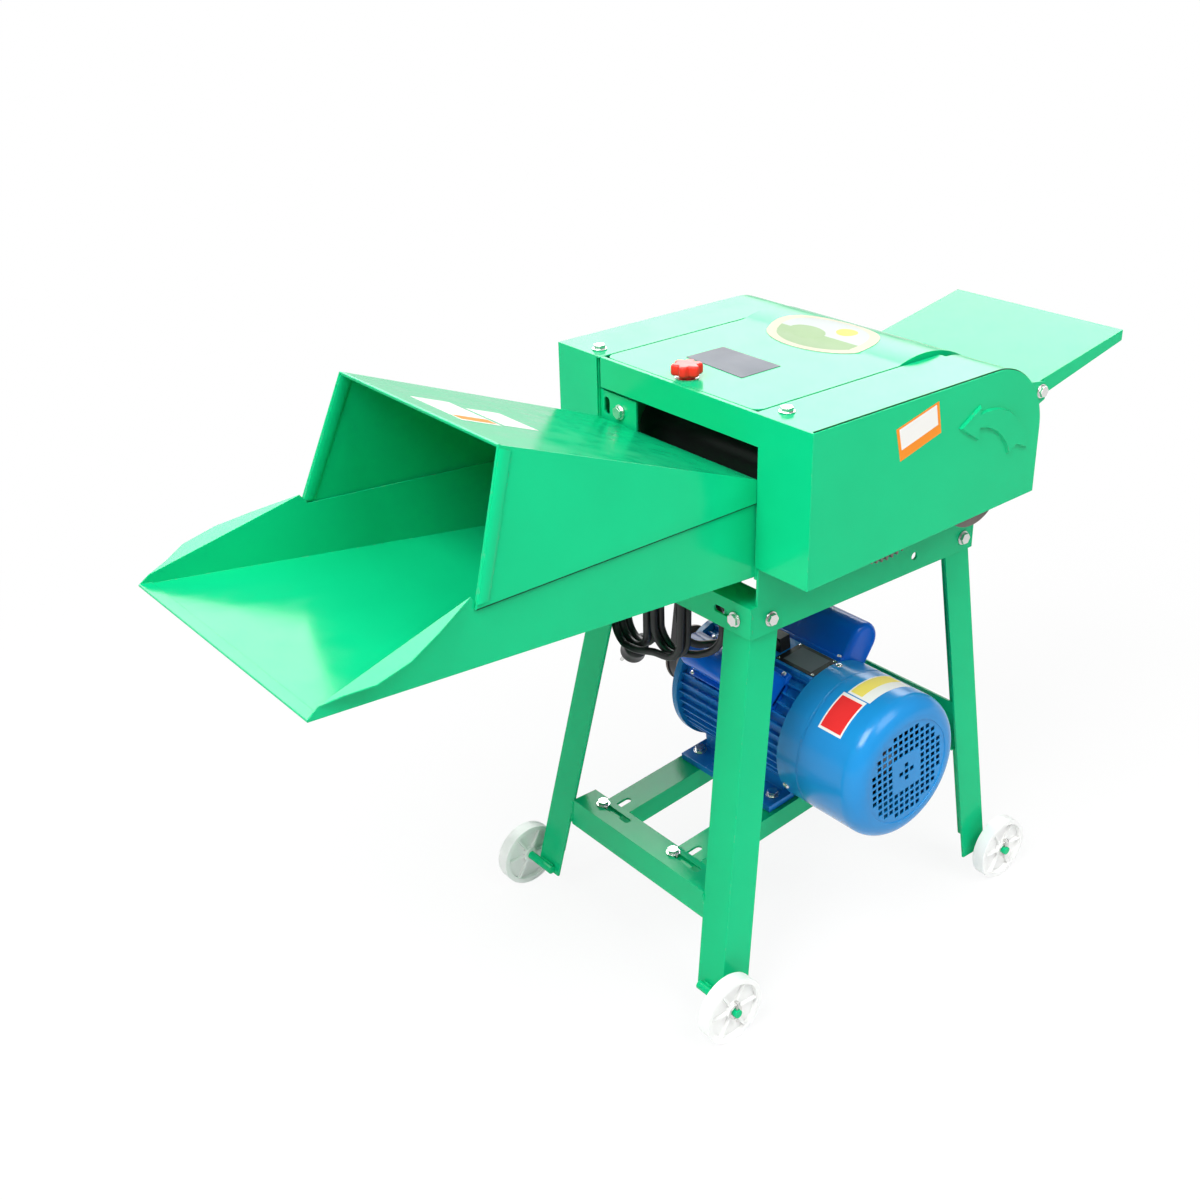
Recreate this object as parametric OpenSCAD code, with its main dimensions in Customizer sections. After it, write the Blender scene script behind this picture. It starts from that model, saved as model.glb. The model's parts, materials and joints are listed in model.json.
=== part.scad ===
// Electric chaff cutter on a wheeled stand.
// Forage slides down the feed trough, two rollers draw it in, and four knives on a
// turning drum cut it against a bed knife and throw it out under the deflector.
// +X runs from the feed trough to the discharge, +Z is up. The origin lies on the
// floor, under the middle of the machine's length and width.

/* [Stand] */
// Height of the underside of the top frame above the floor
frame_z = 447; // [430:1:460]
// Height of the top frame's angle rails
rail_h = 36.5; // [34:0.5:40]
// Thickness of the angle steel
steel_t = 3; // [2.5:0.1:3.5]
// Width of the leg angles
leg_w = 40; // [36:1:42]
// How far the front legs run forward between the frame and the wheel axle
front_splay = 74; // [60:1:80]
// How far the rear legs run back between the frame and the wheel axle
rear_splay = 29.5; // [20:0.5:35]
// How far each leg runs sideways between the frame and the wheel axle
side_splay = 44; // [38:1:46]
// Height of the legs' lower ends above the floor
leg_end_z = 33; // [28:1:36]
// Radius of the wheels
wheel_r = 40; // [38:0.5:44]
// Width of the wheels
wheel_w = 16; // [12:0.5:18]
// Radius of the wheel axles
axle_r = 5; // [4:0.25:6]
// Distance of the axle ends from the middle plane
axle_end = 203; // [201:0.5:206]

/* [Housing] */
// Clear width between the two side walls
throat_w = 252; // [248:1:256]
// Thickness of the side walls
wall_t = 3; // [2.5:0.1:3.5]
// Height of the covers' flat top above the floor
cover_top = 693; // [688:1:700]
// Height of the covers' front lower corner above the floor
cover_low = 528; // [520:1:535]
// Length of the covers
cover_len = 352; // [350:1:356]
// Radius of the covers' rear top corner
cover_round = 80; // [70:1:90]
// Thickness of the cover sheet
sheet = 2; // [1.5:0.1:2.2]
// Distance of the near cover's outer face from the middle plane
near_cover_y = 200; // [199:0.5:201]
// Distance of the far cover's outer face from the middle plane
far_cover_y = 195; // [193:0.5:198]
// Width of the lid
lid_w = 237; // [230:1:239]
// Outer radius of the lid's curved rear part
lid_arc_r = 129; // [126:0.5:131]

/* [Cutter] */
// Place of the main shaft behind the covers' front face
main_x = 258; // [256:0.5:260]
// Height of the main shaft above the floor
main_z = 570; // [568:0.5:572]
// Radius of the main shaft
main_r = 12.5; // [10:0.5:14]
// Radius of the knife tips
rotor_r = 98; // [94:0.5:99]
// Thickness of the knives
blade_t = 5; // [4:0.5:6]
// Radius of the flywheel
flywheel_r = 49; // [46:1:56]
// Outer radius of the large belt pulley
big_pulley_r = 84; // [80:1:88]

/* [Feed] */
// Radius of the lower feed roller
lower_roller_r = 26; // [24:0.5:27]
// Radius of the upper feed roller
upper_roller_r = 36; // [34:0.5:37]
// Radius of the roller shafts and of the countershaft
feed_shaft_r = 9; // [8:0.25:10]
// Upward travel of the sprung upper roller
float_travel = 8; // [6:0.5:9]
// Module of the reduction gears
drive_module = 2.5; // [2.4:0.05:2.55]
// Module of the roller gears
roller_module = 5; // [4.8:0.05:5.1]

/* [Trough] */
// Distance of the trough's open end from the covers' front face
trough_len = 528; // [500:1:540]
// Half width of the trough's open end
trough_half = 164; // [155:1:170]
// Height of the trough floor at its open end
trough_tip_z = 573.6; // [568:0.2:580]
// Height of the trough floor at the covers' front face
trough_root_z = 518; // [516:0.5:520]
// Thickness of the trough sheet
trough_t = 1.6; // [1.2:0.1:2]
// Height of the hood's front edge above the floor
hood_top = 743; // [730:1:755]

/* [Deflector] */
// Distance of the deflector's free edge from the covers' front face
deflector_end = 605; // [595:1:620]
// Rise angle of the deflector
deflector_rise = 10.4; // [6:0.2:14]
// Place of the deflector's pivot behind the covers' front face
pivot_x = 449; // [446:1:452]
// Height of the deflector's pivot above the floor
pivot_z = 613; // [611:0.5:615]
// Radius of the pivot and frame bolts
bolt_r = 4; // [3.5:0.1:4.5]

/* [Motor] */
// Tilt of the two motor rails
rail_tilt = 6.3; // [5:0.1:7]
// Height of the front cross bar's top above the floor
front_bar_top = 146; // [140:1:152]
// Distance of the motor's axis along the rails, from the front bar's rear edge
motor_along = 207; // [200:1:214]
// Height of the motor's axis above the rails
motor_h = 82; // [80:0.5:88]
// Radius of the motor body over its fins
motor_r = 79; // [76:0.5:79]
// Radius of the motor's fan cover
fan_cover_r = 88; // [84:0.5:90]
// Length of the fan cover
fan_cover_len = 120; // [110:1:124]
// Radius of the motor shaft
motor_shaft_r = 12; // [10:0.5:14]
// Outer radius of the small belt pulley
small_pulley_r = 38; // [34:1:42]
// Radius of the mains cord
cord_r = 4.5; // [3.5:0.1:4.6]

/* [Hidden] */
$fn = 64;

// Colours
green = [0.09, 0.62, 0.36];
blue = [0.05, 0.30, 0.72];
sky = [0.08, 0.50, 0.85];
zinc = [0.78, 0.78, 0.76];
iron = [0.42, 0.40, 0.38];
steel = [0.62, 0.63, 0.65];
black = [0.06, 0.06, 0.06];
red = [0.80, 0.08, 0.06];
white = [0.93, 0.93, 0.92];

// Clearances
run_fit = 0.06;
side_gap = 0.4;
lash = 0.3;
hole_fit = 0.3;
close_fit = 0.2;
slot_fit = 0.4;
loose_fit = 0.8;

// The covers' front face, seen from the middle of the machine's length
front_x = -(deflector_end - trough_len) / 2;

// Walls and frame
wall_in = throat_w / 2;
wall_out = wall_in + wall_t;
frame_top = frame_z + rail_h;
rail_front = -7;
leg_front = rail_front + steel_t;
rail_rear = cover_len - 4.5;
leg_rear = rail_rear - steel_t;
wall_front = sheet + 0.5;
cover_under = cover_top - sheet;
axle_z = wheel_r;
splay_h = frame_z - axle_z;
front_slope = front_splay / splay_h;
rear_slope = rear_splay / splay_h;
side_slope = side_splay / splay_h;
leg_top = frame_top - steel_t;
front_axle_x = leg_front - front_splay - axle_r;
rear_axle_x = leg_rear + rear_splay + axle_r;
axle_start = wall_in + side_splay - leg_w + 8;
pin_r = 1.2;
pin_eye = 4.2;
pin_eye_bore = 2;
pin_eye_w = 1.8;
pin_below = 7;
wheel_out = axle_end - 6;
washer_t = 1.2;
pin_y = wheel_out + side_gap + washer_t + pin_r + 0.2;
leg_bolt_y = wall_in - 20;
leg_bolt_front = leg_front + 26;
leg_bolt_rear = leg_rear - 15.5;
leg_bolt_z = frame_z + 17;
mount_hole_x = 246;
mount_hole_r = 4.5;
rail_flange = 35;
rail_slot = [77, 92];
strip_bolt = [16, 570];
wheel_rim = 6;
wheel_web = 2;
wheel_hub = 4.5;
spoke_half = 1.5;

// Shafts
counter_pinion_teeth = 22;
counter_gear_teeth = 68;
counter_dist = drive_module * (counter_pinion_teeth + counter_gear_teeth) / 2 + 0.2;
counter_angle = 168;
counter_x = main_x + counter_dist * cos(counter_angle);
counter_z = main_z + counter_dist * sin(counter_angle);
lower_x = 90;
lower_z = 508;
lower_teeth = 15;
upper_teeth = 21;
roller_dist = roller_module * (lower_teeth + upper_teeth) / 2 + 0.2;
upper_x = lower_x;
upper_z = lower_z + roller_dist;
roller_half = wall_in - 6;
bearing_out = wall_out + 12;
bush_out = wall_out + 3.4;
drive_plane = [160, 172];
flywheel_plane = [176.5, near_cover_y - sheet - 5];
pulley_room = big_pulley_r + sheet + 5;
groove = 12;
flywheel_rim = 12;
belt_t = 10;
belt_seat = groove - side_gap;
chain_plane = [wall_out + 4.2, wall_out + 11.2];
roller_plane = [wall_out + 15.2, wall_out + 25.2];
belt_plane = [150, 166];
pulley_plane = [belt_plane[0] - 4, belt_plane[1] + 4];
small_sprocket_r = 20;
large_sprocket_r = 50;
chain_t = 5;
block_half = 15;
spring_y = wall_out + 8;
spring_r = 3.6;
spring_wire = 0.8;
spring_low = upper_z + block_half;
spring_top = spring_low + float_travel + 20;

// Lid
lid_half = lid_w / 2;
lid_front = 6;
lid_lip = 6.6;
lid_arc_x = 250;
lid_arc_z = cover_top + 6 - lid_arc_r;
lid_arc_end = 46;
lid_flat_end = lid_arc_x - sqrt(pow(lid_arc_r, 2) - pow(cover_top - lid_arc_z, 2));
hinge_x = lid_arc_x + (lid_arc_r + 2) * sin(lid_arc_end) + 5;
hinge_z = lid_arc_z + (lid_arc_r + 2) * cos(lid_arc_end) + 1;
hinge_y = 45;
hinge_r = 5;
hinge_pin_r = 2;
knuckle_w = 14;
knob_x = 22;
knob_y = 3;
knob_stud_r = 4;
knob_r = 17;
knob_grip = 12;
knob_neck_r = 9;
knob_neck = 4;
knob_flute_r = 6;
latch_half = 18;
latch_low = 10;
latch_t = 3;
bracket_x = 5;
bracket_y = 66;
bracket_z = [600, 654];
bracket_bolt = [93, 636];
bracket_slot = [116, 632, 643];
bracket_slot_r = 4.5;

// Deflector
deflector_half = wall_in - 0.6;
pivot_back = 13;
deflector_root = pivot_x - pivot_back;
deflector_tip_lip = 13;
deflector_root_lip = 22;
deflector_lift = pivot_z + 11;
panel_end = pivot_x - 21;

// Trough
trough_slope = (trough_tip_z - trough_root_z) / trough_len;
trough_root_half = wall_in - trough_t - 0.4;
trough_taper = (trough_half - trough_root_half) / trough_len;
hood_front = 309;
hood_low = 356;
hood_half = 133;
hood_low_z = 611;
hood_rear_z = [599, 624];
hood_fall = 0.385;
hood_flare = 0.16;
hood_seat = 1.4;

// Motor and its rails
rail_origin_x = -25;
rail_origin_z = front_bar_top - steel_t;
rail_w = 39;
rail_depth = 26;
rail_start = -30;
rail_end = 374;
first_slot = 8;
slot_half = 8;
bolt_off = 11;
far_rail_y = 76;
near_rail_y = -53;
far_slot = [far_rail_y - 34, far_rail_y + 12];
near_slot = [near_rail_y - 30, near_rail_y + 12];
rear_bar_x = leg_rear + (frame_z - rear_bar_top()) * rear_slope - steel_t;
rear_bar_low = rail_origin_z + (rear_bar_x - rail_origin_x) * tan(rail_tilt) + 0.2;
foot_span = 70;
foot_in = 22;
foot_out = 20;
foot_side = 14;
fin_depth = 6;
fin_w = 2.6;
armature_r = 53;
fan_r = 70;
pad_half = 24;
body_y = [-83, 97];
shield_y = 112;
fan_front_y = -(axle_end - fan_cover_len);
cap_angle = 40;
cap_half = 22;
front_cap_y = [-54, 80];
rear_cap_y = [-76, 60];
front_cap_r = 102;
rear_cap_r = 112;
motor_axis_x = rail_origin_x + motor_along * cos(rail_tilt) - motor_h * sin(rail_tilt);
motor_axis_z = rail_origin_z + motor_along * sin(rail_tilt) + motor_h * cos(rail_tilt);

// Height of the rear cross bar's top
function rear_bar_top() = 228;

// Half width of the trough floor at x
function pan_half(x) = trough_root_half - trough_taper * min(x, 0);

// Height of the trough floor at x
function pan_z(x) = trough_root_z - trough_slope * x;

// Forward edge of the front legs, rear edge of the rear legs and outer edge of all legs
function leg_front_at(z) = leg_front - front_slope * max(frame_z - z, 0);
function leg_rear_at(z) = leg_rear + rear_slope * max(frame_z - z, 0);
function leg_side_at(z) = wall_in + side_slope * max(frame_z - z, 0);

// Mains cord
hank_rings = 24;
cord_sides = 6;
hank_pitch = 2 * cord_r + 1.2;
hank_x = 30;
lobe_r = 26;
lobe_top_z = 455;
right_lobe_y = 28;
right_lobe_low = 359;
right_loops = 2;
left_lobe_y = 93;
left_lobe_low = 345;
left_loops = 3;
gland_y = -6;
gland_z = motor_r + 13;
gland_reach = 22;

// Places everything that is measured from the covers' front face
module from_front() {
    translate([front_x, 0, 0]) children();
}

// Extrudes an X-Z outline from y0 to y1
module along_y(y0, y1) {
    translate([0, y1, 0]) rotate([90, 0, 0]) linear_extrude(y1 - y0) children();
}

// Extrudes a Y-Z outline from x0 to x1
module along_x(x0, x1) {
    translate([x0, 0, 0]) rotate([90, 0, 90]) linear_extrude(x1 - x0) children();
}

// Round bar along Y
module bar_y(x, z, r, y0, y1) {
    translate([x, y0, z]) rotate([-90, 0, 0]) cylinder(r = r, h = y1 - y0);
}

// Round tube along Y
module ring_y(x, z, r, bore, y0, y1) {
    difference() {
        bar_y(x, z, r, y0, y1);
        bar_y(x, z, bore, y0 - 1, y1 + 1);
    }
}

// Box from two corners
module box(lo, hi) {
    translate(lo) cube(hi - lo);
}

// Puts a copy on the near side and another on the far side
module both_sides() {
    for (side = [0, 1]) mirror([0, side, 0]) children();
}

// Hexagon-head bolt with a flange, head up, shank down from the origin
module hex_bolt(r, shank) {
    cylinder(r = r * 2.1, h = r * 0.4);
    cylinder(r = r * 1.75, h = r * 1.4, $fn = 6);
    translate([0, 0, -shank]) cylinder(r = r, h = shank);
}

// Spur gear outline, a tooth on +X when phase is 0
module gear_outline(m, teeth, phase = 0) {
    pitch = m * teeth / 2;
    step = 360 / teeth;
    thick = step / 2 - 180 * lash / (PI * pitch);
    points = [
        for (i = [0 : teeth - 1])
            for (k = [[-0.66, -1.2], [-0.25, 0.9], [0.25, 0.9], [0.66, -1.2]])
                let (a = phase + i * step + k[0] * thick, r = pitch + k[1] * m) [r * cos(a), r * sin(a)]
    ];
    polygon(points);
}

// Outline of a band stretched round two wheels
module band_outline(a, ra, b, rb) {
    d = b - a;
    dist = norm(d);
    heading = atan2(d[1], d[0]);
    lean = acos((ra - rb) / dist);
    translate(a) circle(r = ra);
    translate(b) circle(r = rb);
    polygon([
        a + ra * [cos(heading + lean), sin(heading + lean)],
        a + ra * [cos(heading - lean), sin(heading - lean)],
        b + rb * [cos(heading - lean), sin(heading - lean)],
        b + rb * [cos(heading + lean), sin(heading + lean)]
    ]);
}

// Closed band round two wheels
module band(a, ra, b, rb, t, y0, y1) {
    along_y(y0, y1) difference() {
        band_outline(a, ra + t, b, rb + t);
        band_outline(a, ra, b, rb);
    }
}

function unit(v) = v / norm(v);

// Ring of points round p, square to the direction t, its first point along u
function ring_at(p, t, u, r, n) =
    let (v = cross(t, u))
    [for (i = [0 : n - 1]) p + r * (cos(360 * i / n) * u + sin(360 * i / n) * v)];

// Direction u made square to t
function squared(u, t) = unit(u - (u * t) * t);

// Side directions carried along a path without twist, from a first direction
function carried(path, u, i = 0) =
    let (here = squared(u, heading_at(path, i)))
    i >= len(path) - 1 ? [here] : concat([here], carried(path, here, i + 1));

// Smooth curve through hand-set points
function curve_point(a, b, c, d, t) =
    0.5 * (2 * b + (c - a) * t + (2 * a - 5 * b + 4 * c - d) * t * t
    + (3 * b - a - 3 * c + d) * t * t * t);

function curve(pts, steps) =
    let (n = len(pts))
    concat(
        [for (i = [0 : n - 2], k = [0 : steps - 1])
            curve_point(pts[max(i - 1, 0)], pts[i], pts[i + 1], pts[min(i + 2, n - 1)], k / steps)],
        [pts[n - 1]]
    );

// Direction of a path at point i
function heading_at(path, i) =
    unit(path[min(i + 1, len(path) - 1)] - path[max(i - 1, 0)]);

// Round tube along a path, its rings starting toward first
module tube(path, r, first, n) {
    m = len(path);
    sides = carried(path, first);
    polyhedron(
        points = [for (i = [0 : m - 1]) each ring_at(path[i], heading_at(path, i), sides[i], r, n)],
        faces = concat(
            [for (k = [1 : n - 2]) [0, k, k + 1]],
            [for (k = [1 : n - 2]) [(m - 1) * n, (m - 1) * n + k + 1, (m - 1) * n + k]],
            [for (i = [0 : m - 2], k = [0 : n - 1])
                each [
                    [i * n + k, (i + 1) * n + k, (i + 1) * n + (k + 1) % n],
                    [i * n + k, (i + 1) * n + (k + 1) % n, i * n + (k + 1) % n]
                ]]
        )
    );
}

// Heights of a leg flange's corners, each with its distance from the leg's outer edge
function leg_corners(near, far) = [
    [leg_end_z, near], [frame_z, near], [leg_top, near], [leg_top, far], [frame_z, far], [leg_end_z, far]
];

// Outline of one leg flange seen from the side, x0 and x1 measured from the leg's outer edge
module leg_side_strip(edge, dir, x0, x1) {
    polygon([
        for (zk = leg_corners(x0, x1))
            [(edge == "front" ? leg_front_at(zk[0]) : leg_rear_at(zk[0])) + dir * zk[1], zk[0]]
    ]);
}

// Outline of one leg flange seen from the front, y0 and y1 measured inward from the outer edge
module leg_front_strip(y0, y1) {
    polygon([
        for (zk = leg_corners(y0, y1)) [leg_side_at(zk[0]) - zk[1], zk[0]]
    ]);
}

// One angle-steel leg on the far side with its welded wheel axle
module leg(edge) {
    dir = edge == "front" ? 1 : -1;
    axle_x = edge == "front" ? front_axle_x : rear_axle_x;
    bolt_x = edge == "front" ? leg_bolt_front : leg_bolt_rear;
    face_x = edge == "front" ? leg_front : leg_rear;
    difference() {
        union() {
            intersection() {
                along_y(0, axle_end) leg_side_strip(edge, dir, 0, steel_t);
                along_x(-200, cover_len + 200) leg_front_strip(0, leg_w);
            }
            intersection() {
                along_y(0, axle_end) leg_side_strip(edge, dir, 0, leg_w);
                along_x(-200, cover_len + 200) leg_front_strip(0, steel_t);
            }
        }
        bar_y(bolt_x, leg_bolt_z, bolt_r + hole_fit, wall_in - steel_t - 5, wall_in + 5);
        translate([face_x - 6, leg_bolt_y, leg_bolt_z]) rotate([0, 90, 0])
            cylinder(r = bolt_r + hole_fit, h = 12);
    }
    difference() {
        bar_y(axle_x, axle_z, axle_r, axle_start, axle_end);
        translate([axle_x, pin_y, axle_z - 2 * axle_r]) cylinder(r = pin_r + 0.1, h = 4 * axle_r);
    }
}

// Outline of a side wall
module wall_outline() {
    difference() {
        union() {
            translate([leg_front, frame_z]) square([wall_front - leg_front + 1, rail_h]);
            translate([wall_front, frame_z])
                square([cover_len - cover_round - wall_front, cover_under - frame_z]);
            translate([cover_len - cover_round, frame_z])
                square([cover_round - 4, cover_top - cover_round - frame_z]);
            intersection() {
                translate([cover_len - cover_round, cover_top - cover_round])
                    circle(r = cover_round - sheet - 2);
                translate([cover_len - cover_round - 1, cover_top - cover_round - 1]) square(cover_round);
            }
            polygon([
                [cover_len - 20, pivot_z + 30], [pivot_x + 9, pivot_z + 10],
                [pivot_x + 9, pivot_z - 12], [cover_len - 20, pivot_z - 60]
            ]);
        }
        translate([leg_rear, frame_z - 1]) square([20, rail_h + 1.5]);
        translate([main_x, main_z]) circle(r = main_r + 4);
        translate([counter_x, counter_z]) circle(r = feed_shaft_r + 3);
        translate([lower_x, lower_z]) circle(r = feed_shaft_r + 3);
        translate([upper_x - block_half - side_gap, upper_z - block_half - side_gap])
            square([2 * block_half + 2 * side_gap, 2 * block_half + float_travel + 2 * side_gap + 0.6]);
        translate([leg_bolt_front, leg_bolt_z]) circle(r = bolt_r + hole_fit);
        translate([leg_bolt_rear, leg_bolt_z]) circle(r = bolt_r + hole_fit);
        translate([mount_hole_x, leg_bolt_z + 2]) circle(r = mount_hole_r);
        translate([pivot_x, pivot_z]) circle(r = bolt_r);
        translate(strip_bolt) circle(r = bolt_r + close_fit);
    }
}

// Side wall on the far side with its tabs for the cover and the roller spring
module side_wall(bolt_x, bolt_y) {
    along_y(wall_in, wall_out) wall_outline();
    difference() {
        box([bolt_x - 12, wall_out, cover_under - 4], [bolt_x + 14, bolt_y + 11, cover_under]);
        translate([bolt_x, bolt_y, cover_under - 10]) cylinder(r = bolt_r + close_fit, h = 20);
    }
    box([upper_x - 10, wall_out, spring_top], [upper_x + 10, spring_y + 6, spring_top + 3]);
}

near_bolt = [25, 140];
far_bolt = [17, 142];

module near_side_wall() {
    color(green) from_front() mirror([0, 1, 0]) side_wall(near_bolt[0], near_bolt[1]);
}

module far_side_wall() {
    color(green) from_front() side_wall(far_bolt[0], far_bolt[1]);
}

// Angle rail across the frame, its upright flange from x0 to x1 and its top flange inward
module cross_rail(x0, x1, inner) {
    difference() {
        union() {
            box([x0, -wall_out, frame_z], [x1, wall_out, frame_top]);
            box([min(x0, inner), -wall_in, leg_top], [max(x1, inner), wall_in, frame_top]);
        }
        for (side = [-1, 1]) {
            translate([x0 - 5, side * leg_bolt_y, leg_bolt_z]) rotate([0, 90, 0])
                cylinder(r = bolt_r + hole_fit, h = 20);
            translate([x0 - 5, 0, leg_bolt_z + 2]) along_x(0, 20) {
                for (end = rail_slot) translate([side * end, 0]) circle(r = bolt_r);
                translate([min(side * rail_slot), -bolt_r])
                    square([rail_slot[1] - rail_slot[0], 2 * bolt_r]);
            }
        }
    }
}

module front_rail() {
    color(green) from_front() cross_rail(rail_front, leg_front, leg_front + rail_flange);
}

module rear_rail() {
    color(green) from_front() cross_rail(leg_rear, rail_rear, leg_rear - rail_flange);
}

module front_legs() {
    color(green) from_front() both_sides() leg("front");
}

module rear_legs() {
    color(green) from_front() both_sides() leg("rear");
}

// Slot for a bolt through a horizontal flange
module flat_slot(x, y0, y1, z0, z1) {
    translate([x, 0, z0]) linear_extrude(z1 - z0) {
        for (y = [y0, y1]) translate([0, y]) circle(r = bolt_r + slot_fit);
        translate([-bolt_r - slot_fit, y0]) square([2 * (bolt_r + slot_fit), y1 - y0]);
    }
}

front_bar_x = leg_front_at(front_bar_top) - 1.5;
front_bar_h = 37;
front_bar_bolt_x = rail_origin_x - 13;
rear_bar_bolt_x = rear_bar_x - 18;

module front_bar() {
    low = front_bar_top - front_bar_h;
    end_top = leg_side_at(front_bar_top) - leg_w;
    end_low = leg_side_at(low) - leg_w;
    color(green) from_front() difference() {
        intersection() {
            union() {
                box([front_bar_x, -axle_end, low], [front_bar_x + steel_t, axle_end, front_bar_top]);
                box([front_bar_x, -axle_end, rail_origin_z], [rail_origin_x, axle_end, front_bar_top]);
            }
            along_x(front_bar_x - 1, rail_origin_x + 1) polygon([
                [-end_top, front_bar_top], [end_top, front_bar_top], [end_low, low], [-end_low, low]
            ]);
        }
        for (slot = [near_slot, far_slot])
            flat_slot(front_bar_bolt_x, slot[0], slot[1], rail_origin_z - 1, front_bar_top + 1);
    }
}

module rear_bar() {
    half = leg_side_at(rear_bar_top()) - steel_t - close_fit;
    color(green) from_front() difference() {
        union() {
            box([rear_bar_x - steel_t, -half, rear_bar_low], [rear_bar_x, half, rear_bar_top()]);
            box([rear_bar_x - rail_flange, -half, rear_bar_low], [rear_bar_x, half, rear_bar_low + steel_t]);
        }
        for (slot = [near_slot, far_slot])
            flat_slot(rear_bar_bolt_x, slot[0], slot[1], rear_bar_low - 1, rear_bar_low + steel_t + 1);
    }
}

// Places what is measured along the tilted motor rails
module on_rails() {
    from_front() translate([rail_origin_x, 0, rail_origin_z]) rotate([0, -rail_tilt, 0]) children();
}

// Places what is measured from the motor's axis
module on_motor() {
    on_rails() translate([motor_along, 0, motor_h]) children();
}

// Angle rail that carries the motor, with its slots
module motor_rail(y) {
    difference() {
        on_rails() difference() {
            union() {
                box([rail_start, y - rail_w / 2, -steel_t], [rail_end, y + rail_w / 2, 0]);
                box([rail_start, y - rail_w / 2, -rail_depth], [rail_end, y - rail_w / 2 + steel_t, 0]);
            }
            for (x = [first_slot, motor_along - foot_span, motor_along + foot_span])
                translate([x, y, -10]) linear_extrude(20) {
                    for (end = [-slot_half, slot_half]) translate([end, 0]) circle(r = bolt_r + slot_fit);
                    translate([-slot_half, -bolt_r - slot_fit])
                        square([2 * slot_half, 2 * (bolt_r + slot_fit)]);
                }
        }
        from_front() for (at = [[front_bar_bolt_x, rail_origin_z], [rear_bar_bolt_x, rear_bar_low]])
            translate([at[0], y + bolt_off, at[1] - 30]) cylinder(r = bolt_r + loose_fit, h = 40);
    }
}

module near_motor_rail() {
    color(green) motor_rail(near_rail_y);
}

module far_motor_rail() {
    color(green) motor_rail(far_rail_y);
}

module frame_bolts() {
    color(zinc) from_front() {
        both_sides() {
            for (x = [leg_bolt_front, leg_bolt_rear])
                translate([x, wall_out, leg_bolt_z]) rotate([-90, 0, 0]) hex_bolt(bolt_r, 14);
            translate([rail_front, leg_bolt_y, leg_bolt_z]) rotate([0, -90, 0]) hex_bolt(bolt_r, 14);
            translate([rail_rear, leg_bolt_y, leg_bolt_z]) rotate([0, 90, 0]) hex_bolt(bolt_r, 14);
        }
        for (y = [near_rail_y + bolt_off, far_rail_y + bolt_off]) {
            translate([front_bar_bolt_x, y, front_bar_top]) hex_bolt(bolt_r, 16);
            translate([rear_bar_bolt_x, y, rear_bar_low + steel_t]) hex_bolt(bolt_r, 16);
        }
    }
}

foot_t = 9;

module motor_bolts() {
    color(zinc) on_rails()
        for (x = [motor_along - foot_span, motor_along + foot_span], y = [near_rail_y, far_rail_y])
            translate([x, y, foot_t]) hex_bolt(bolt_r, foot_t + 12);
}

// Spoked wheel on the far side
module wheel(x) {
    half = wheel_w / 2;
    mid = wheel_out - half;
    difference() {
        union() {
            ring_y(x, axle_z, wheel_r, wheel_r - wheel_rim, mid - half, mid + half);
            ring_y(x, axle_z, wheel_r - wheel_rim + 1, axle_r + 3, mid - wheel_web, mid + wheel_web);
            bar_y(x, axle_z, axle_r + wheel_hub, mid - half, mid + half);
            for (a = [0 : 60 : 300])
                translate([x, mid, axle_z]) rotate([0, a, 0])
                    box([axle_r + 2, 2 - half, -spoke_half], [wheel_r - wheel_rim + 1, half - 2, spoke_half]);
        }
        bar_y(x, axle_z, axle_r + run_fit, 0, axle_end + 10);
    }
}

module wheel_front_near() {
    color(white) from_front() mirror([0, 1, 0]) wheel(front_axle_x);
}

module wheel_front_far() {
    color(white) from_front() wheel(front_axle_x);
}

module wheel_rear_near() {
    color(white) from_front() mirror([0, 1, 0]) wheel(rear_axle_x);
}

module wheel_rear_far() {
    color(white) from_front() wheel(rear_axle_x);
}

// Washer and split pin that keep each wheel on its axle
module wheel_pins() {
    color(zinc) from_front() both_sides()
        for (x = [front_axle_x, rear_axle_x]) {
            translate([0, wheel_out + side_gap, 0])
                ring_y(x, axle_z, axle_r + 4, axle_r + 0.1, 0, washer_t);
            translate([x, pin_y, axle_z - axle_r - pin_below])
                cylinder(r = pin_r, h = 2 * axle_r + pin_below + pin_eye + 1);
            translate([x - pin_eye_w / 2, pin_y, axle_z + axle_r + 2 * pin_eye - 0.4]) rotate([0, 90, 0])
                difference() {
                    cylinder(r = pin_eye, h = pin_eye_w);
                    translate([0, 0, -1]) cylinder(r = pin_eye_bore, h = pin_eye_w + 2);
                }
        }
}

// Outline of a cover seen from the side, drawn in by inset
module cover_outline(inset) {
    flat = cover_len - cover_round;
    below = cover_low - 60;
    beyond = cover_len + cover_round;
    difference() {
        union() {
            translate([inset, below]) square([flat - inset, cover_top - inset - below]);
            translate([flat - 1, below]) square([cover_round + 1 - inset, cover_top - cover_round - below]);
            intersection() {
                translate([flat, cover_top - cover_round]) circle(r = cover_round - inset);
                translate([flat - 1, cover_top - cover_round - 1]) square(cover_round + 2);
            }
            translate([main_x, main_z]) circle(r = pulley_room - inset);
        }
        polygon([
            [-10, below - 60], [-10, cover_low], [0, cover_low], [cover_len, cover_low + 10],
            [beyond, cover_low + 10], [beyond, below - 60]
        ]);
    }
}

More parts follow.
